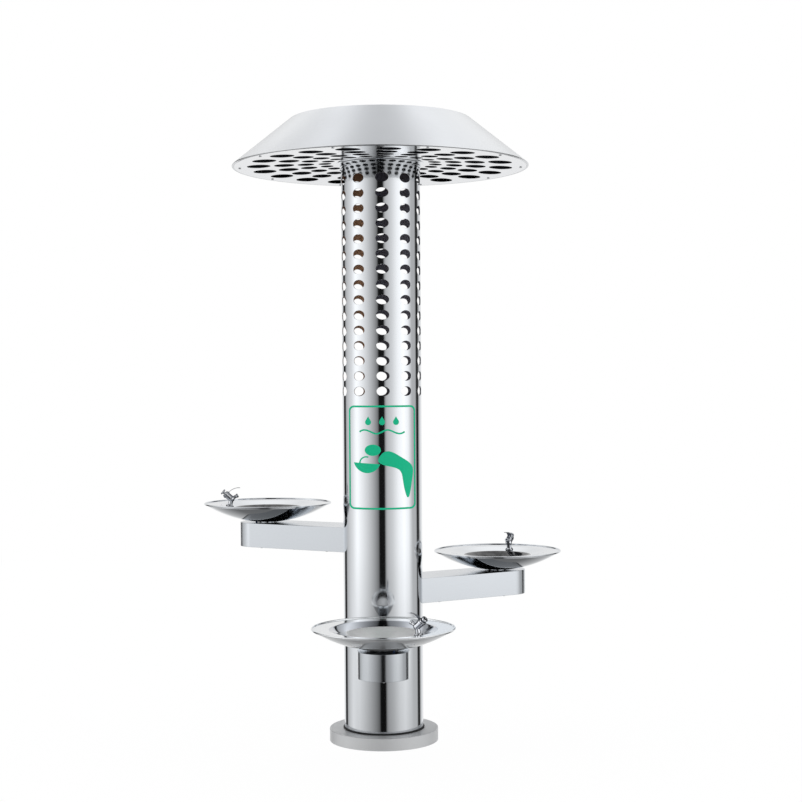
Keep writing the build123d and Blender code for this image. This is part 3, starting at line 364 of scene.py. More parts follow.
def perforation_into(bm, border, hole, place, thickness, lip, steps):
    """Adds one sheet cell with a hole: border and hole are rings of plan points in step with each other,
    and place(point, depth) gives the spot in space at a depth under the sheet's outer face."""
    def between(share):
        return [b.lerp(h, share) for b, h in zip(border, hole)]

    def grown(amount):
        return [h + (b - h).normalized() * amount for b, h in zip(border, hole)]

    shares = [k / steps for k in range(steps)]
    rings = [[place(p, 0) for p in between(s)] for s in shares]
    rings.append([place(p, 0) for p in grown(lip)])
    rings.append([place(p, lip * LIP_CUT) for p in grown(lip * LIP_CUT)])
    rings.append([place(p, lip) for p in hole])
    rings.append([place(p, thickness - lip) for p in hole])
    rings.append([place(p, thickness - lip * LIP_CUT) for p in grown(lip * LIP_CUT)])
    rings.append([place(p, thickness) for p in grown(lip)])
    rings += [[place(p, thickness) for p in between(s)] for s in reversed(shares)]
    grid_into(bm, rings, wrap=True)


def set_normals(piece, normal_at):
    """Gives the piece exact normals where normal_at(point, normal) returns one, and leaves the others."""
    mesh = piece.data
    normals = []
    for loop, corner in zip(mesh.loops, mesh.corner_normals):
        normals.append(normal_at(mesh.vertices[loop.vertex_index].co, Vector(corner.vector)))
    mesh.normals_split_custom_set(normals)


# ---------------------------------------------------------------- materials

SLOT = {part["node"]: part["material_slot"] for part in frame["record"]["subparts"]}
EVEN = (1, 1, 1)  # grain that is the same all ways, and grain drawn out upwards or across
UPWARD = (1, 1, 0.04)
CAP_GRAIN = (1, 1, 0.05)
CROSSWISE = (0.05, 1, 1)
FINE_SHARE = 0.6  # how the fine and the slow noise mix
SLOW_SCALE = 7.0
WAVE_SCALE = 5.0
GLOSS_SPREAD = 0.25  # share by which the roughness varies
# Painted light inside the column: how far across it fades, and the height below which it is left out.
VENT_LIGHT_REACH = 0.15
VENT_LIGHT_LOW = 1.28


def noise(n, place, scale, detail, stretch=EVEN):
    """Noise in metres, from 0 to 1, drawn out along an axis where stretch is below 1."""
    spot = n.add("ShaderNodeMapping", {"Vector": place, "Scale": stretch}).outputs[0]
    texture = n.add("ShaderNodeTexNoise", {"Vector": spot, "Scale": scale, "Detail": detail})
    return texture.outputs["Fac"]


def grained(name, colour, spread, roughness, metallic, grain, wave=0.0, scratch=0.0, coat=0.0):
    """Material whose colour, roughness and surface all vary with noise.

    spread is the share by which the colour varies, grain the fine noise's scale and stretch, wave the
    height in metres of slow dents, scratch the height of the fine grain."""
    material = bpy.data.materials.new(name)
    material.use_nodes = True
    n = Nodes(material.node_tree)
    place = n.add("ShaderNodeTexCoord").outputs["Object"]
    fine = noise(n, place, grain[0], 4.0, grain[1])
    slow = noise(n, place, SLOW_SCALE, 2.0)
    both = n.math("ADD", n.math("MULTIPLY", fine, FINE_SHARE), n.math("MULTIPLY", slow, 1 - FINE_SHARE))
    dark = tuple(c * (1 - spread) for c in colour)
    light = tuple(min(1.0, c * (1 + spread)) for c in colour)
    tint = n.ramp(both, [(0.25, dark), (0.75, light)])
    low, high = roughness * (1 - GLOSS_SPREAD), min(1.0, roughness * (1 + GLOSS_SPREAD))
    rough = n.add("ShaderNodeMapRange", {0: both, 1: 0.3, 2: 0.7, 3: low, 4: high}).outputs[0]
    normal = None
    if scratch:
        bump = n.add("ShaderNodeBump", {"Height": fine, "Distance": scratch, "Strength": 1.0})
        normal = bump.outputs[0]
    if wave:
        settings = {"Height": noise(n, place, WAVE_SCALE, 1.0), "Distance": wave, "Strength": 1.0}
        if normal:
            settings["Normal"] = normal
        normal = n.add("ShaderNodeBump", settings).outputs[0]
    inputs = {"Base Color": tint, "Roughness": rough, "Metallic": metallic, "Coat Weight": coat}
    if normal:
        inputs["Normal"] = normal
    shader = n.add("ShaderNodeBsdfPrincipled", inputs)
    n.add("ShaderNodeOutputMaterial", {"Surface": shader.outputs[0]})
    return material


def tint_with_painted_light(material, share, stops):
    """Multiply a material's grain by the colour ramp read at the given share; here the ramp paints light and
    shade into the colour.
    """
    n = Nodes(material.node_tree, keep=True)
    shader = next(node for node in n.tree.nodes if node.type == "BSDF_PRINCIPLED")
    grain = shader.inputs["Base Color"].links[0].from_socket
    tint = n.ramp(share(n), stops)
    n.tree.links.new(n.mix(1.0, grain, tint, "MULTIPLY"), shader.inputs["Base Color"])
    return material


def vent_light_mask(n):
    """Mask for the painted light inside the column: 0 to 1 from the left side of the vented part to its
    right, and 1 below the vents.
    """
    place = n.add("ShaderNodeTexCoord").outputs["Object"]
    split = n.add("ShaderNodeSeparateXYZ", {0: place}).outputs
    reach = {0: split["X"], 1: -VENT_LIGHT_REACH, 2: VENT_LIGHT_REACH}
    side = n.add("ShaderNodeMapRange", reach).outputs[0]
    return n.math("MAXIMUM", side, n.math("LESS_THAN", split["Z"], VENT_LIGHT_LOW))


def edge_on(n):
    """0 where the surface faces the eye, 1 where it is seen edge-on."""
    return n.add("ShaderNodeLayerWeight", {0: 0.5}).outputs["Facing"]


def make_lining_painted_light():
    """Mill-finish grain inside the column with painted light: a brownish glow behind the left vents stands
    in for light falling in, and the rest is dark bluish grey.
    """
    grey = (0.9, 0.9, 0.9)
    material = grained("column_lining_painted_light", grey, 0.10, 0.42, 0.6, (900, UPWARD), scratch=2e-6)
    painted_light_brown, slate, dim_slate = (0.55, 0.30, 0.17), (0.22, 0.23, 0.29), (0.17, 0.18, 0.23)
    return tint_with_painted_light(material, vent_light_mask, [(0.30, painted_light_brown), (0.44, slate), (1.0, dim_slate)])


def make_chrome_painted_reflection():
    """Bright plating with a painted reflection: the colour falls to dark where the rounded sides are seen
    edge-on and lightens again at the outline, standing in for the room that small chromed fittings mirror.
    """
    plating = (0.86, 0.88, 0.92)
    material = grained("chrome", plating, 0.02, 0.06, 1.0, (900, EVEN), scratch=1e-7)
    # Painted reflection: white facing the eye, dark on the sides and flanks, and a painted highlight at the
    # outline.
    facing, side, painted_dark_flank, outline = (1, 1, 1), (0.10, 0.11, 0.13), (0.05, 0.055, 0.065), (0.8, 0.8, 0.8)
    return tint_with_painted_light(material, edge_on, [(0.28, facing), (0.42, side), (0.75, painted_dark_flank), (0.92, outline)])


def steels():
    """Each steel finish: colour, its spread, roughness, metallic share, grain, and the relief in metres."""
    mirror = {"wave": 0.0002, "scratch": 2e-7}
    fine_satin = {"wave": 0.0002, "scratch": 1e-6}
    flawless = {"wave": 0.0002, "scratch": 1e-7}
    return (
        ("polished_steel", (0.785, 0.81, 0.84), 0.02, 0.07, 1.0, (900, UPWARD), mirror),
        ("satin_steel", (0.635, 0.665, 0.70), 0.03, 0.16, 1.0, (1400, CROSSWISE), {"scratch": 1e-6}),
        ("plain_steel", (0.50, 0.51, 0.52), 0.12, 0.45, 1.0, (400, EVEN), {"scratch": 4e-6}),
        ("fastener_steel", (0.66, 0.67, 0.68), 0.06, 0.28, 1.0, (900, EVEN), {"scratch": 2e-6}),
        ("spring_steel", (0.55, 0.55, 0.56), 0.10, 0.35, 1.0, (1500, CROSSWISE), {}),
        ("cap_steel", (0.75, 0.765, 0.785), 0.02, 0.24, 1.0, (1200, CAP_GRAIN), {"scratch": 1e-6}),
        ("soffit_steel", (0.82, 0.835, 0.86), 0.02, 0.12, 1.0, (1200, EVEN), {"scratch": 3e-7}),
        ("base_steel", (0.65, 0.66, 0.67), 0.05, 0.42, 0.28, (900, CAP_GRAIN), {"scratch": 1e-6}),
        # The next four are lit and shaded copies of the basin steel: painted light on the front basin's
        # bowl, saucer and sump, and painted shade on its wall and, with streaks of painted reflection, on
        # the side sumps.
        ("basin_painted_light", (0.92, 0.94, 0.96), 0.02, 0.08, 0.86, (900, EVEN), mirror),
        ("sump_painted_light", (0.95, 0.95, 0.95), 0.02, 0.32, 0.30, (900, EVEN), fine_satin),
        ("wall_painted_shade", (0.60, 0.62, 0.66), 0.02, 0.03, 1.0, (900, EVEN), flawless),
        ("sump_painted_shade", (0.085, 0.085, 0.085), 0.85, 0.08, 1.0, (45, (1, 1, 0.3)), {"wave": 0.002}),
    )


def other_finishes():
    """Rubber, brass, plastics, paints and a near-black painted shade for inside the cap, in the same terms
    as the steels.
    """
    return (
        ("black_rubber", (0.02, 0.02, 0.022), 0.25, 0.75, 0.0, (800, EVEN), {"scratch": 2e-5}),
        ("brass", (0.72, 0.52, 0.24), 0.08, 0.30, 1.0, (700, CROSSWISE), {"scratch": 3e-6}),
        ("grey_plastic", (0.30, 0.31, 0.33), 0.06, 0.45, 0.0, (300, EVEN), {"scratch": 5e-6}),
        ("blue_hose", (0.05, 0.14, 0.42), 0.08, 0.35, 0.0, (300, EVEN), {"coat": 0.3}),
        ("red_paint", (0.50, 0.02, 0.015), 0.10, 0.30, 0.0, (500, EVEN), {"scratch": 2e-5, "coat": 0.4}),
        ("green_film", (0.0, 0.62, 0.32), 0.03, 0.75, 0.0, (600, EVEN), {"scratch": 2e-6}),
        # Painted shade: near black, for the inside of the cap.
        ("cap_painted_shade", (0.006, 0.007, 0.010), 0.3, 0.8, 0.0, (300, EVEN), {"scratch": 2e-5}),
    )


def make_materials():
    made = {"chrome": make_chrome_painted_reflection(), "column_lining_painted_light": make_lining_painted_light()}
    for name, colour, spread, roughness, metallic, grain, relief in steels() + other_finishes():
        made[name] = grained(name, colour, spread, roughness, metallic, grain, **relief)
    return made


# ---------------------------------------------------------------- main sizes, from the CAD

MM = 0.001
RIM_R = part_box("cap_shell")[1].y
RIM_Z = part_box("cap_shell")[0].z
TOP_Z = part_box("cap_shell")[1].z
COLUMN_R = 150 * MM
COLUMN_WALL = 3 * MM
COLUMN_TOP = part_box("column_tube")[1].z
COLUMN_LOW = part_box("column_tube")[0].z
ARM_TOP = {side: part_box(f"{side}_arm")[1].z for side in SIDES}
ARM_LOW = {side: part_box(f"{side}_arm")[0].z for side in SIDES}
BASIN_REACH = 526 * MM


def basin_frame(side, height=0.0):
    """Local x runs outward along the arm from the basin's axis, local z up."""
    return upright(SIDES[side], BASIN_REACH, ARM_TOP[side] + height)


def in_metres(points):
    return [tuple(value * MM for value in point) for point in points]


# ---------------------------------------------------------------- column

VENT_COLUMNS = 10
VENT_ROWS = 15
VENT_PITCH = 56.7 * MM
VENT_LOW_Z = 1324.5 * MM
VENT_HALF_W = 24.5 * MM
VENT_HALF_H = 17.5 * MM
VENT_TURN = radians(1.75)
CELL_ACROSS = 12  # mesh steps along a vent cell's width
CELL_UP = 8
FACE_REACH = 0.02 * MM  # how near the column's true radius a corner of its faces lies
FACING = 0.7  # least share of a normal that points in or out on those faces
EDGE_LIP = 0.8 * MM
FOOT_Z = 51 * MM
FOOT_BEVEL = 3 * MM
SPIGOT_R = 146 * MM
SPIGOT_WALL = 5 * MM
DOOR_LOW_Z = 110 * MM
DOOR_H = 350 * MM
DOOR_W = 172 * MM
DOOR_CORNER = 20 * MM
DOOR_CELL = (50, 80)  # first and last column step of the cell round the door opening
DOOR_CELL_Z = (90 * MM, 480 * MM)
DOOR_UP = 40


def on_column(point, depth):
    """Place on the column of a plan point (arc length from the front, height)."""
    turn = point.x / COLUMN_R
    return Vector((sin(turn), -cos(turn), 0)) * (COLUMN_R - depth) + Vector((0, 0, point.y))


def square_ring(across, up):
    """Points round a unit square from its lower left corner, in even steps."""
    ring = []
    sides = (((-1, -1), (1, 0)), ((1, -1), (0, 1)), ((1, 1), (-1, 0)), ((-1, 1), (0, -1)))
    for (start, along), count in zip(sides, (across, up, across, up)):
        ring += [Vector(start) + Vector(along) * (2 * k / count) for k in range(count)]
    return ring


def in_box(ring, centre, half_w, half_h):
    return [Vector((centre[0] + q.x * half_w, centre[1] + q.y * half_h)) for q in ring]


def vent_ring(ring, centre):
    """Outline of one vent, bored straight through towards the axis."""
    spots = []
    for q in ring:
        turn = atan2(q.y, q.x)
        across = asin(VENT_HALF_W * cos(turn) / COLUMN_R) * COLUMN_R
        spots.append(Vector((centre[0] + across, centre[1] + VENT_HALF_H * sin(turn))))
    return spots


def door_ring(ring, inset):
    """Rounded outline of the door opening, drawn in by inset, at the back of the column."""
    half_w, half_h, corner = DOOR_W / 2 - inset, DOOR_H / 2 - inset, DOOR_CORNER - inset
    spots = []
    for q in ring:
        spot = Vector((q.x * half_w, q.y * half_h))
        inner = Vector((max(-half_w + corner, min(half_w - corner, spot.x)),
                        max(-half_h + corner, min(half_h - corner, spot.y))))
        if abs(spot.x) > half_w - corner and abs(spot.y) > half_h - corner:
            spot = inner + (spot - inner).normalized() * corner
        across = asin(spot.x / COLUMN_R) * COLUMN_R
        spots.append(Vector((pi * COLUMN_R + across, DOOR_LOW_Z + DOOR_H / 2 + spot.y)))
    return spots


def radial_normal(point, normal):
    """Exact normal of the column's inner and outer faces."""
    reach = sqrt(point.x ** 2 + point.y ** 2)
    if min(abs(reach - COLUMN_R), abs(reach - COLUMN_R + COLUMN_WALL)) > FACE_REACH:
        return normal
    out = Vector((point.x, point.y, 0)) / reach
    if normal.dot(out) > FACING:
        return out
    return -out if normal.dot(out) < -FACING else normal


def column_rows(bm, first, last, heights):
    """Plain wall between two column steps: its outer and inner faces."""
    steps = VENT_COLUMNS * CELL_ACROSS
    start = VENT_TURN * COLUMN_R - pi * COLUMN_R / VENT_COLUMNS
    arcs = [start + 2 * pi * COLUMN_R * k / steps for k in range(first, last + 1)]
    for depth in (0, COLUMN_WALL):
        grid_into(bm, [[on_column(Vector((a, z)), depth) for a in arcs] for z in heights])


def make_column():
    bm = bmesh.new()
    steps = VENT_COLUMNS * CELL_ACROSS
    half_w = pi * COLUMN_R / VENT_COLUMNS
    ring = square_ring(CELL_ACROSS, CELL_UP)
    for column in range(VENT_COLUMNS):
        for row in range(VENT_ROWS):
            centre = (VENT_TURN * COLUMN_R + column * 2 * half_w, VENT_LOW_Z + row * VENT_PITCH)
            border = in_box(ring, centre, half_w, VENT_PITCH / 2)
            perforation_into(bm, border, vent_ring(ring, centre), on_column, COLUMN_WALL, EDGE_LIP, steps=3)
    vents_low = VENT_LOW_Z - VENT_PITCH / 2
    vents_high = VENT_LOW_Z + (VENT_ROWS - 0.5) * VENT_PITCH
    first, last = DOOR_CELL
    low, high = DOOR_CELL_Z
    door_half = (last - first) / steps * pi * COLUMN_R
    door_centre = ((first + last) / steps * pi * COLUMN_R + VENT_TURN * COLUMN_R - half_w, (low + high) / 2)
    ring = square_ring(last - first, DOOR_UP)
    border = in_box(ring, door_centre, door_half, (high - low) / 2)
    perforation_into(bm, border, door_ring(ring, 0), on_column, COLUMN_WALL, EDGE_LIP, steps=6)
    column_rows(bm, last, first + steps, [low + (high - low) * k / DOOR_UP for k in range(DOOR_UP + 1)])
    column_rows(bm, 0, steps, (high, vents_low))
    column_rows(bm, 0, steps, (vents_high, COLUMN_TOP))
    turn = Matrix.Rotation(VENT_TURN - pi / VENT_COLUMNS - pi / 2, 4, "Z")
    inner_r = COLUMN_R - COLUMN_WALL
    lathe_into(bm, [(COLUMN_R, COLUMN_TOP), (inner_r, COLUMN_TOP)], steps, turn, closed=False)
    foot = [
        (inner_r, low),
        (inner_r, FOOT_Z + 2 * FOOT_BEVEL),
        (SPIGOT_R - SPIGOT_WALL, FOOT_Z + 2 * FOOT_BEVEL),
        (SPIGOT_R - SPIGOT_WALL, COLUMN_LOW),
        (SPIGOT_R, COLUMN_LOW),
        (SPIGOT_R, FOOT_Z),
        (COLUMN_R - FOOT_BEVEL, FOOT_Z),
        (COLUMN_R, FOOT_Z + FOOT_BEVEL),
        (COLUMN_R, low),
    ]
    lathe_into(bm, foot, steps, turn, closed=False)
    piece = finish_piece("column", bm, M["polished_steel"], sharp=40, flat_first=False)
    # The inner faces take the lining with painted light behind the left vents.
    piece.data.materials.append(M["column_lining_painted_light"])
    for face in piece.data.polygons:
        reach = sqrt(face.center.x ** 2 + face.center.y ** 2)
        if reach < COLUMN_R - COLUMN_WALL / 2 and abs(face.normal.z) < 0.5:
            face.material_index = 1
    set_normals(piece, radial_normal)
    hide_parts("column_tube")


BASE_R = 206
BASE_H = 46
BASE_SHEET = 3
BASE_BORE = 146.5
BASE_EDGE = 2.5
GASKET_R = 154
GASKET_BORE = 146.3
GASKET_H = 5
GASKET_EDGE = 1.2
ROUND_STEPS = 160  # mesh steps round the wide rings


def make_base():
    inner_r, under = BASE_R - BASE_SHEET, BASE_H - BASE_SHEET
    cover = rounded(in_metres([(BASE_R, 0, 0), (BASE_R, BASE_H, BASE_EDGE), (BASE_BORE, BASE_H, 0),
                               (BASE_BORE, under, 0), (inner_r, under, 1), (inner_r, 0, 0)]))
    piece = lathe("base_plate_cover", cover, M["base_steel"], ROUND_STEPS)
    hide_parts("base_cover")
    top = BASE_H + GASKET_H
    gasket = rounded(in_metres([(GASKET_BORE, BASE_H, 0), (GASKET_R, BASE_H, GASKET_EDGE),
                                (GASKET_R, top, GASKET_EDGE), (GASKET_BORE, top, 0)]))
    piece = lathe("foot_gasket", gasket, M["black_rubber"], ROUND_STEPS)
    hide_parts("base_gasket")


# ---------------------------------------------------------------- cap

CAP_SHEET = 2 * MM
SHOULDER_R = 343 * MM
SHOULDER_Z = RIM_Z + 180 * MM
SHOULDER_BEND = 7 * MM
CROWN_R = 34 * MM
FLANGE_R = 515 * MM
FLANGE_GAP = 0.1 * MM  # between the flange and the soffit that it lies on
BEAD_R = 3 * MM
HEM_FROM = -60  # degrees round the bead, from its underside to where the cone meets it
HEM_TO = 14.3
SOFFIT_SHEET = 1.5 * MM
SOFFIT_SLOPE = 0.0415
SOFFIT_R = 552 * MM
SOFFIT_BORE = 152.5 * MM
# In millimetres: each ring of holes and its holes' radius, and where one band of cells meets the next.
SOFFIT_RINGS = ((460, 44.5), (364, 38.5), (282, 31.5), (210, 24.5))
SOFFIT_BREAKS = (552, 512, 409, 319.5, 242.5, 178, 152.5)
SOFFIT_COUNT = 20
SOFFIT_TURN = radians(3.7)
SOFFIT_ACROSS = 10


def soffit_under(radius):
    return RIM_Z + (RIM_R - radius) * SOFFIT_SLOPE


def on_soffit(point, depth):
    """Place on the soffit of a plan point; depth is measured up from its lower face."""
    return Vector((point.x, point.y, soffit_under(point.length) + depth))


def polar(radius, turn):
    return Vector((radius * sin(turn), -radius * cos(turn)))


def make_cap():
    hem = arc((RIM_R - BEAD_R, RIM_Z + BEAD_R), BEAD_R, HEM_FROM, HEM_TO, 4)
    flange = soffit_under(RIM_R) + SOFFIT_SHEET + FLANGE_GAP
    flange_end = soffit_under(FLANGE_R) + SOFFIT_SHEET
    outline = [(0.0, TOP_Z), (CROWN_R, TOP_Z), (SHOULDER_R, SHOULDER_Z, SHOULDER_BEND)]
    outline += [tuple(p) for p in reversed(hem)]
    outline += [
        (hem[0].x - BEAD_R, RIM_Z + 0.3 * MM),
        (RIM_R - 3.2 * BEAD_R, flange),
        (FLANGE_R, flange_end + FLANGE_GAP),
        (FLANGE_R, flange_end + CAP_SHEET),
        (RIM_R - 3.6 * BEAD_R, flange + CAP_SHEET),
        (SHOULDER_R - CAP_SHEET / 2, SHOULDER_Z - CAP_SHEET),
        (CROWN_R, TOP_Z - CAP_SHEET),
        (0.0, TOP_Z - CAP_SHEET),
    ]
    outline = rounded(outline, steps=8, closed=False)
    piece = lathe("cap_outer_shell", outline, M["cap_steel"], 256, closed=False)
    # The downward faces inside the cap take a near-black finish: painted shade.
    piece.data.materials.append(M["cap_painted_shade"])
    for face in piece.data.polygons:
        middle = face.center
        reach = sqrt(middle.x ** 2 + middle.y ** 2)
        slope = SHOULDER_Z + (SHOULDER_R - reach) * (SHOULDER_Z - RIM_Z) / (RIM_R - SHOULDER_R)
        roof = min(slope, TOP_Z - CAP_SHEET / 2)
        faces_down = face.normal.z < 0.3
        if faces_down and reach < RIM_R - 4 * BEAD_R and middle.z < roof:
            face.material_index = 1
    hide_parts("cap_shell")


def make_soffit():
    bm = bmesh.new()
    half = pi / SOFFIT_COUNT
    ring = square_ring(SOFFIT_ACROSS, SOFFIT_ACROSS)
    breaks = [b * MM for b in SOFFIT_BREAKS]
    for number, (ring_r, hole_r) in enumerate(in_metres(SOFFIT_RINGS)):
        outer, inner = breaks[number + 1], breaks[number + 2]
        for place in range(SOFFIT_COUNT):
            turn = SOFFIT_TURN + place * 2 * half
            middle = (outer + inner) / 2
            border = [polar(middle + q.y * (outer - inner) / 2, turn + q.x * half) for q in ring]
            centre = polar(ring_r, turn)
            along, across = polar(1, turn), polar(1, turn + pi / 2)
            hole = []
            for q in ring:
                bearing = atan2(q.y, q.x)
                hole.append(centre + (along * sin(bearing) + across * cos(bearing)) * hole_r)
            perforation_into(bm, border, hole, on_soffit, SOFFIT_SHEET, EDGE_LIP / 2, steps=3)
    steps = SOFFIT_COUNT * SOFFIT_ACROSS
    turn = Matrix.Rotation(SOFFIT_TURN - half - pi / 2, 4, "Z")
    inner, outer = breaks[-2], breaks[1]
    for edge, end in ((outer, SOFFIT_R), (inner, SOFFIT_BORE)):
        under = [(edge, soffit_under(edge)), (end, soffit_under(end))]
        over = [(radius, height + SOFFIT_SHEET) for radius, height in reversed(under)]
        lathe_into(bm, under + over, steps, turn, closed=False)
    piece = finish_piece("soffit_panel", bm, M["soffit_steel"], 40)
    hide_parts("cap_soffit")


COLLAR_BORE = 150.3 * MM
COLLAR_WALL = 4 * MM
COLLAR_R = 166 * MM
COLLAR_H = 15 * MM


def make_collar():
    top = soffit_under(COLLAR_R)
    low = top - COLLAR_H
    wall_r = COLLAR_BORE + COLLAR_WALL
    flange = top - CAP_SHEET
    outline = rounded([(COLLAR_BORE, low, 0), (wall_r, low, 1 * MM), (wall_r, flange, 2 * MM),
                       (COLLAR_R, flange, 0.8 * MM), (COLLAR_R, top, 0), (COLLAR_BORE, top, 0)])
    piece = lathe("soffit_collar", outline, M["polished_steel"], ROUND_STEPS)
    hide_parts("cap_collar")


# ---------------------------------------------------------------- arms

ARM_HALF = 91 * MM
ARM_END = 548 * MM
ARM_ROOT = 6 * MM
ARM_SHEET = 3 * MM
ARM_LIP = 11 * MM
ARM_EDGE = 1.4 * MM
ARM_EDGE_STEPS = 4
ARM_FOOT_EDGE = 0.5 * MM
LIP_LOW = 3.3 * MM  # the lip that the bottom cover is screwed to, above the arm's lower edge
LIP_TOP = 5 * MM
ROOT_STEPS = 16
END_STEPS = 48


def arm_plan(inset, root_r):
    """The arm's outline seen from above, drawn in by inset, round a root of the given radius."""
    half = ARM_HALF - inset
    spread = asin(half / root_r)
    outline = []
    for k in range(ROOT_STEPS + 1):
        turn = spread - 2 * spread * k / ROOT_STEPS
        outline.append(Vector((root_r * cos(turn), root_r * sin(turn))))
    outline += arc((ARM_END, 0), half, -90, 90, END_STEPS)
    return outline


def make_arm(side):
    top, low = ARM_TOP[side], ARM_LOW[side]
    sections = []  # how far in from the outline, the root's radius, the height
    for k in range(ARM_EDGE_STEPS + 1):
        turn = radians(90 * k / ARM_EDGE_STEPS)
        sections.append((ARM_EDGE * (1 - sin(turn)), COLUMN_R, top - ARM_EDGE * (1 - cos(turn))))
    inside = (ARM_SHEET, COLUMN_R + ARM_ROOT)
    lip = (ARM_SHEET + ARM_LIP, COLUMN_R + ARM_ROOT + ARM_LIP)
    sections += [
        (0, COLUMN_R, low + ARM_FOOT_EDGE),
        (ARM_FOOT_EDGE, COLUMN_R, low),
        (*inside, low),
        (*inside, low + LIP_LOW),
        (*lip, low + LIP_LOW),
        (*lip, low + LIP_TOP),
        (*inside, low + LIP_TOP),
        (*inside, top - ARM_SHEET),
    ]
    bm = bmesh.new()
    place = upright(SIDES[side])
    rows = []
    for inset, root_r, z in sections:
        rows.append([place @ Vector((p.x, p.y, z)) for p in arm_plan(inset, root_r)])
    made = grid_into(bm, rows, wrap=True)
    bm.faces.new(made[0])
    bm.faces.new(made[-1])
    piece = finish_piece(f"{side}_arm_box", bm, M["satin_steel"], 35)
    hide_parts(f"{side}_arm")


# ---------------------------------------------------------------- basins

BASIN_SHEET = 1.5
BASIN_R = 251.5
BASIN_DEPTH = 77
ROLL_R = 3.2
ROLL_FROM = 200  # degrees: the roll runs from the deck's upper face round to its lower face
ROLL_TO = -110
SAUCER_R = 241
SAUCER_FLAT = 32
SAUCER_FLAT_INSIDE = 28.5
SPHERE_CHORD = 245
SPHERE_RISE = 71
SPHERE_R = (SPHERE_CHORD ** 2 + SPHERE_RISE ** 2) / (2 * SPHERE_RISE)
SAUCER_STEPS = 24
BASIN_STEPS = 224  # mesh steps round a basin
DRAIN_R = 19.5
# Radius and height of the deck's sheet, and the radius of the bend there.
DECK = ((246.5, 72.5, 0), (190, 70.5, 70), (128, 57, 30), (70, 27, 12), (40, 24.5, 12), (DRAIN_R, 24.5, 0))
DECK_SLOPE = atan2(DECK[1][1] - DECK[2][1], DECK[1][0] - DECK[2][0])
SUMP_EDGE_R = 134
WALL_EDGE_R = DECK[1][0]


def saucer(radius, sphere_r=SPHERE_R):
    """Height of the saucer's underside at a radius, or of its upper face when given that face's sphere."""
    return SPHERE_R - sqrt(sphere_r ** 2 - radius ** 2)


def make_pan(side):
    line = rounded([(r, h + BASIN_SHEET / 2, bend) for r, h, bend in DECK], steps=12, closed=False)
    outline = sheet([Vector(p) for p in reversed(line)], BASIN_SHEET)
    roll = arc((BASIN_R - ROLL_R, BASIN_DEPTH - ROLL_R), ROLL_R, ROLL_FROM, ROLL_TO, 22)
    count = len(line)
    outline = outline[:count] + roll + outline[count:]
    at = basin_frame(side)
    # The front basin takes a lit copy of the steel (painted light) and its sump gets painted light, while
    # its wall and the side sumps get painted shade.
    finish = M["basin_painted_light"] if side == "front" else M["polished_steel"]
    piece = lathe(f"{side}_basin_bowl", in_metres(outline), finish, BASIN_STEPS, at=at, sharp=30)
    piece.data.materials.append(M["sump_painted_light"] if side == "front" else M["sump_painted_shade"])
    piece.data.materials.append(M["wall_painted_shade"])
    for face in piece.data.polygons:
        away = (face.center - at.translation).to_2d()
        if away.length < SUMP_EDGE_R * MM:
            face.material_index = 1
        elif side == "front" and away.length < WALL_EDGE_R * MM:
            face.material_index = 2
    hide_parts(f"{side}_basin_pan")


def make_saucer(side):
    inner = SPHERE_R - BASIN_SHEET
    radii = [SAUCER_FLAT + (SAUCER_R - SAUCER_FLAT) * k / SAUCER_STEPS for k in range(SAUCER_STEPS + 1)]
    outline = [(DRAIN_R, 0), (SAUCER_FLAT, 0)] + [(r, saucer(r)) for r in radii]
    outline += [(r, saucer(r, inner)) for r in reversed(radii)]
    outline += [(SAUCER_FLAT_INSIDE, BASIN_SHEET), (DRAIN_R, BASIN_SHEET)]
    at = basin_frame(side)
    # The front saucer takes the lit copy of the steel: painted light.
    finish = M["basin_painted_light"] if side == "front" else M["polished_steel"]
    piece = lathe(f"{side}_basin_saucer", in_metres(outline), finish, BASIN_STEPS, at=at, sharp=30)
    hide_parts(f"{side}_basin_shell")


# ---------------------------------------------------------------- bubblers

BUBBLER_TURNS = {"left": 32, "right": 37, "front": 53}  # degrees from the arm's direction
BUBBLER_REACH = 150
BUBBLER_LIFT = 0.2
BARREL_LEAN = 50
NOZZLE_LEAN = -62
KNUCKLE_RISE = 30
KNUCKLE_R = 13
POST_R = 9
SHANK_R = 6.5
SHANK_BORE_R = 4.6
SHANK_END = -13
BARREL_R = 12.5
BARREL_END = 34
BARREL_BORE_R = 6.1
BORE_FLOOR = 8
STEM_R = 6
STEM_END = 20
BUTTON_R = 11.5
BUTTON_LOW = 40
BUTTON_TOP = 46.5
NOZZLE_R = 6.5
NOZZLE_LIP_R = 8
NOZZLE_END = 30
JET_R = 2.7
FITTING_STEPS = 56  # mesh steps round the barrel and what fits on it
SPRING_R = 4.4
SPRING_WIRE_R = 0.6
SPRING_LOW = BORE_FLOOR + 1.5 * SPRING_WIRE_R
SPRING_LENGTH = STEM_END - BORE_FLOOR - 3 * SPRING_WIRE_R
SPRING_PITCH = 2.6
SPRING_STEPS = 20  # mesh steps in one turn
GUARD_BORE = BARREL_R + 0.1
GUARD_WALL = 2
GUARD_MIDDLE = 25
GUARD_RING_HALF = 4
GUARD_HALF_W = 8
GUARD_HALF_T = 1
GUARD_EDGE = 0.8
GUARD_CREST = (-15, 69)
GUARD_TIP = (-41, 73)
GUARD_STEPS = 28


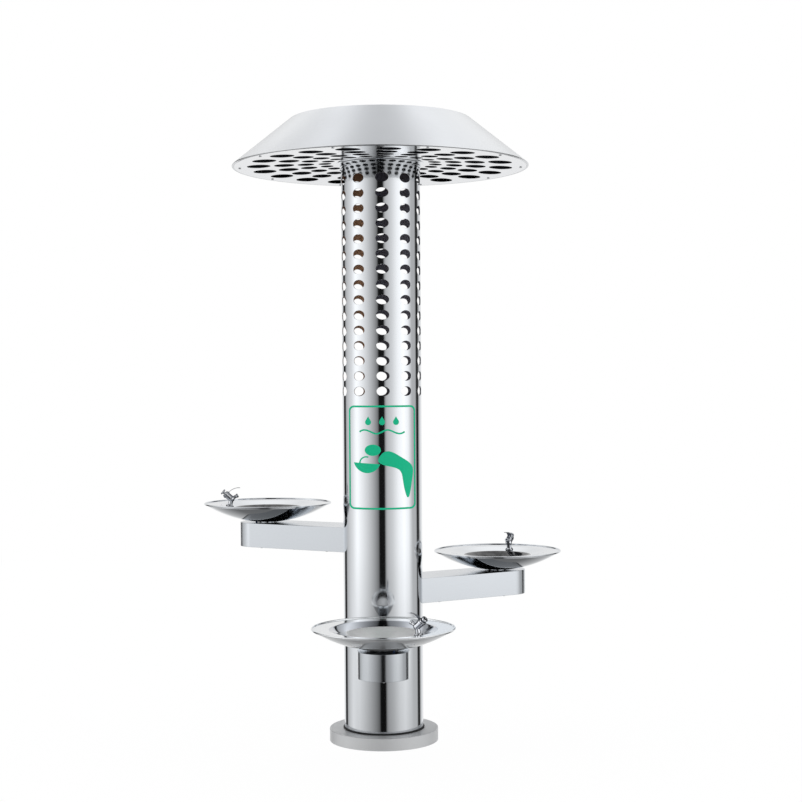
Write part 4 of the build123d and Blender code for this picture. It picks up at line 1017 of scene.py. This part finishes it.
def leaning(side, lean, rise=0.0):
    """Frame at the bubbler's root whose local z leans away from the basin's centre by lean degrees."""
    radial = outward(SIDES[side] + BUBBLER_TURNS[side])
    inner_r, inner_h, _ = DECK[2]
    seat = inner_h + (BUBBLER_REACH - inner_r) * tan(DECK_SLOPE) + BASIN_SHEET / 2 + BUBBLER_LIFT
    axis = outward(SIDES[side]) * BASIN_REACH
    root = axis + radial * BUBBLER_REACH * MM + Vector((0, 0, ARM_TOP[side] + seat * MM))
    up = radial * sin(radians(lean)) + Vector((0, 0, cos(radians(lean))))
    return frame_at(root + up * rise * MM, up, radial)


def at_knuckle(side, lean):
    """Frame at the bubbler's knuckle, leaning as leaning() does."""
    turned = leaning(side, lean).to_3x3().to_4x4()
    return Matrix.Translation(leaning(side, -degrees(DECK_SLOPE), KNUCKLE_RISE).translation) @ turned


def make_bubbler(side):
    on_deck = leaning(side, -degrees(DECK_SLOPE))
    bm = bmesh.new()
    foot = rounded([(0, 1.5, 0), (15, 1.5, 0.5), (15, 4.5, 1.2), (10.5, 5.2, 1), (POST_R, 8, 1.5),
                    (POST_R, 22, 0), (0, 22, 0)])
    lathe_into(bm, in_metres(foot), 48, on_deck, closed=False)
    ball = arc((0, KNUCKLE_RISE), KNUCKLE_R, -90, 90, 20)
    lathe_into(bm, in_metres([(abs(p.x), p.y) for p in ball]), FITTING_STEPS, on_deck, closed=False)
    barrel = rounded([(0, 2, 0), (BARREL_R, 2, 0), (BARREL_R, BARREL_END, 1.6), (10, BARREL_END, 0.5),
                      (9.4, 33.2, 0.5), (BARREL_BORE_R, 33.2, 0.4), (BARREL_BORE_R, BORE_FLOOR, 0),
                      (0, BORE_FLOOR, 0)])
    lathe_into(bm, in_metres(barrel), FITTING_STEPS, at_knuckle(side, BARREL_LEAN), closed=False)
    nozzle = rounded([(0, 4, 0), (NOZZLE_R, 4, 0), (NOZZLE_R, 21, 1), (NOZZLE_LIP_R, 23.5, 1),
                      (NOZZLE_LIP_R, NOZZLE_END, 2), (3.4, NOZZLE_END, 0.6), (JET_R, 28, 0.5),
                      (JET_R, 23, 0), (0, 23, 0)])
    lathe_into(bm, in_metres(nozzle), 40, at_knuckle(side, NOZZLE_LEAN), closed=False)
    shank = [(0, 3), (SHANK_R, 3), (SHANK_R, SHANK_END), (SHANK_BORE_R, SHANK_END), (SHANK_BORE_R, 0),
             (0, 0)]
    lathe_into(bm, in_metres(shank), 32, on_deck, closed=False)
    piece = finish_piece(f"{side}_bubbler", bm, M["chrome"], 30)
    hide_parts(f"{side}_bubbler_body")


def make_button(side):
    outline = rounded([(0, STEM_END, 0), (STEM_R, STEM_END, 0.6), (STEM_R, BUTTON_LOW, 0),
                       (BUTTON_R, BUTTON_LOW, 0.8), (BUTTON_R, BUTTON_TOP, 3.6), (4.5, BUTTON_TOP, 1.5),
                       (3.5, 45.8, 1), (0, 45.8, 0)], steps=6, closed=False)
    at = at_knuckle(side, BARREL_LEAN)
    node = f"{side}_push_button"
    outline = in_metres(outline)
    piece = lathe(f"{side}_button_cap", outline, M["chrome"], FITTING_STEPS, node, at, closed=False)
    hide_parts(node)


def make_spring(side):
    """Coil between the bore's floor and the button's stem."""
    steps = round(SPRING_LENGTH / SPRING_PITCH * SPRING_STEPS)
    rows = []
    section = arc((0, 0), SPRING_WIRE_R, 0, 315, 7)
    for k in range(steps + 1):
        turn = 2 * pi * k / SPRING_STEPS
        out = Vector((cos(turn), sin(turn), 0))
        centre = out * SPRING_R + Vector((0, 0, SPRING_LOW + SPRING_PITCH * k / SPRING_STEPS))
        rows.append([(centre + out * p.x + Vector((0, 0, p.y))) * MM for p in section])
    bm = bmesh.new()
    made = grid_into(bm, rows, wrap=True)
    bm.faces.new(made[0])
    bm.faces.new(made[-1])
    at = at_knuckle(side, BARREL_LEAN)
    piece = finish_piece(f"{side}_spring_coil", bm, M["spring_steel"], 60, at=at, flat_first=False)
    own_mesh(piece)
    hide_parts(f"{side}_button_spring")


def arc_through(start, crest, end, steps):
    """Spots and outward directions along the circle through three points, in plan."""
    ax, ay, bx, by, cx, cy = *start, *crest, *end
    scale = 2 * (ax * (by - cy) + bx * (cy - ay) + cx * (ay - by))
    a2, b2, c2 = ax * ax + ay * ay, bx * bx + by * by, cx * cx + cy * cy
    centre = Vector(((a2 * (by - cy) + b2 * (cy - ay) + c2 * (ay - by)) / scale,
                     (a2 * (cx - bx) + b2 * (ax - cx) + c2 * (bx - ax)) / scale))
    first = Vector(start) - centre
    sweep = first.angle_signed(Vector(end) - centre)
    result = []
    for k in range(steps + 1):
        spoke = spun(first, -sweep * k / steps)
        result.append((centre + spoke, spoke.normalized()))
    return result


def make_guard(side):
    """Curved strap over the nozzle, on a ring that clips round the barrel."""
    radial = outward(SIDES[side] + BUBBLER_TURNS[side])
    across = radial.cross(Vector((0, 0, 1)))
    foot = leaning(side, 0).translation
    barrel = at_knuckle(side, BARREL_LEAN)
    wall_r = GUARD_BORE + GUARD_WALL / 2
    root = (barrel @ Vector((-wall_r * MM, 0, GUARD_MIDDLE * MM)) - foot) / MM
    corners = [(x * GUARD_HALF_W, y * GUARD_HALF_T) for x, y in ((-1, -1), (1, -1), (1, 1), (-1, 1))]
    section = rounded(corners, GUARD_EDGE, steps=3)
    start = (root.dot(radial), root.z)
    rows = []
    for spot, out in arc_through(start, GUARD_CREST, GUARD_TIP, GUARD_STEPS):
        row = []
        for p in section:
            edge = spot + out * p.y
            row.append(foot + (radial * edge.x + Vector((0, 0, edge.y)) + across * p.x) * MM)
        rows.append(row)
    bm = bmesh.new()
    made = grid_into(bm, rows, wrap=True)
    bm.faces.new(made[0])
    bm.faces.new(made[-1])
    low, high = GUARD_MIDDLE - GUARD_RING_HALF, GUARD_MIDDLE + GUARD_RING_HALF
    ring = rounded([(GUARD_BORE, low, 0), (GUARD_BORE + GUARD_WALL, low, 0.7),
                    (GUARD_BORE + GUARD_WALL, high, 0.7), (GUARD_BORE, high, 0)])
    lathe_into(bm, in_metres(ring), FITTING_STEPS, barrel)
    piece = finish_piece(f"{side}_guard_strap", bm, M["chrome"], 30)
    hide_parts(f"{side}_mouth_guard")


# ---------------------------------------------------------------- the scene

M = make_materials()
make_column()
make_base()
make_cap()
make_soffit()
make_collar()
for side in SIDES:
    make_arm(side)
    make_pan(side)
    make_saucer(side)
    make_bubbler(side)
    make_button(side)
    make_spring(side)
    make_guard(side)
# The CAD nodes that no new piece stands for keep their shapes and take the material their slot names.
for node, carried in frame["nodes"].items():
    carried.data.materials.clear()
    carried.data.materials.append(M[SLOT[node]])
make_camera()
make_world()
make_floor()
set_colours()
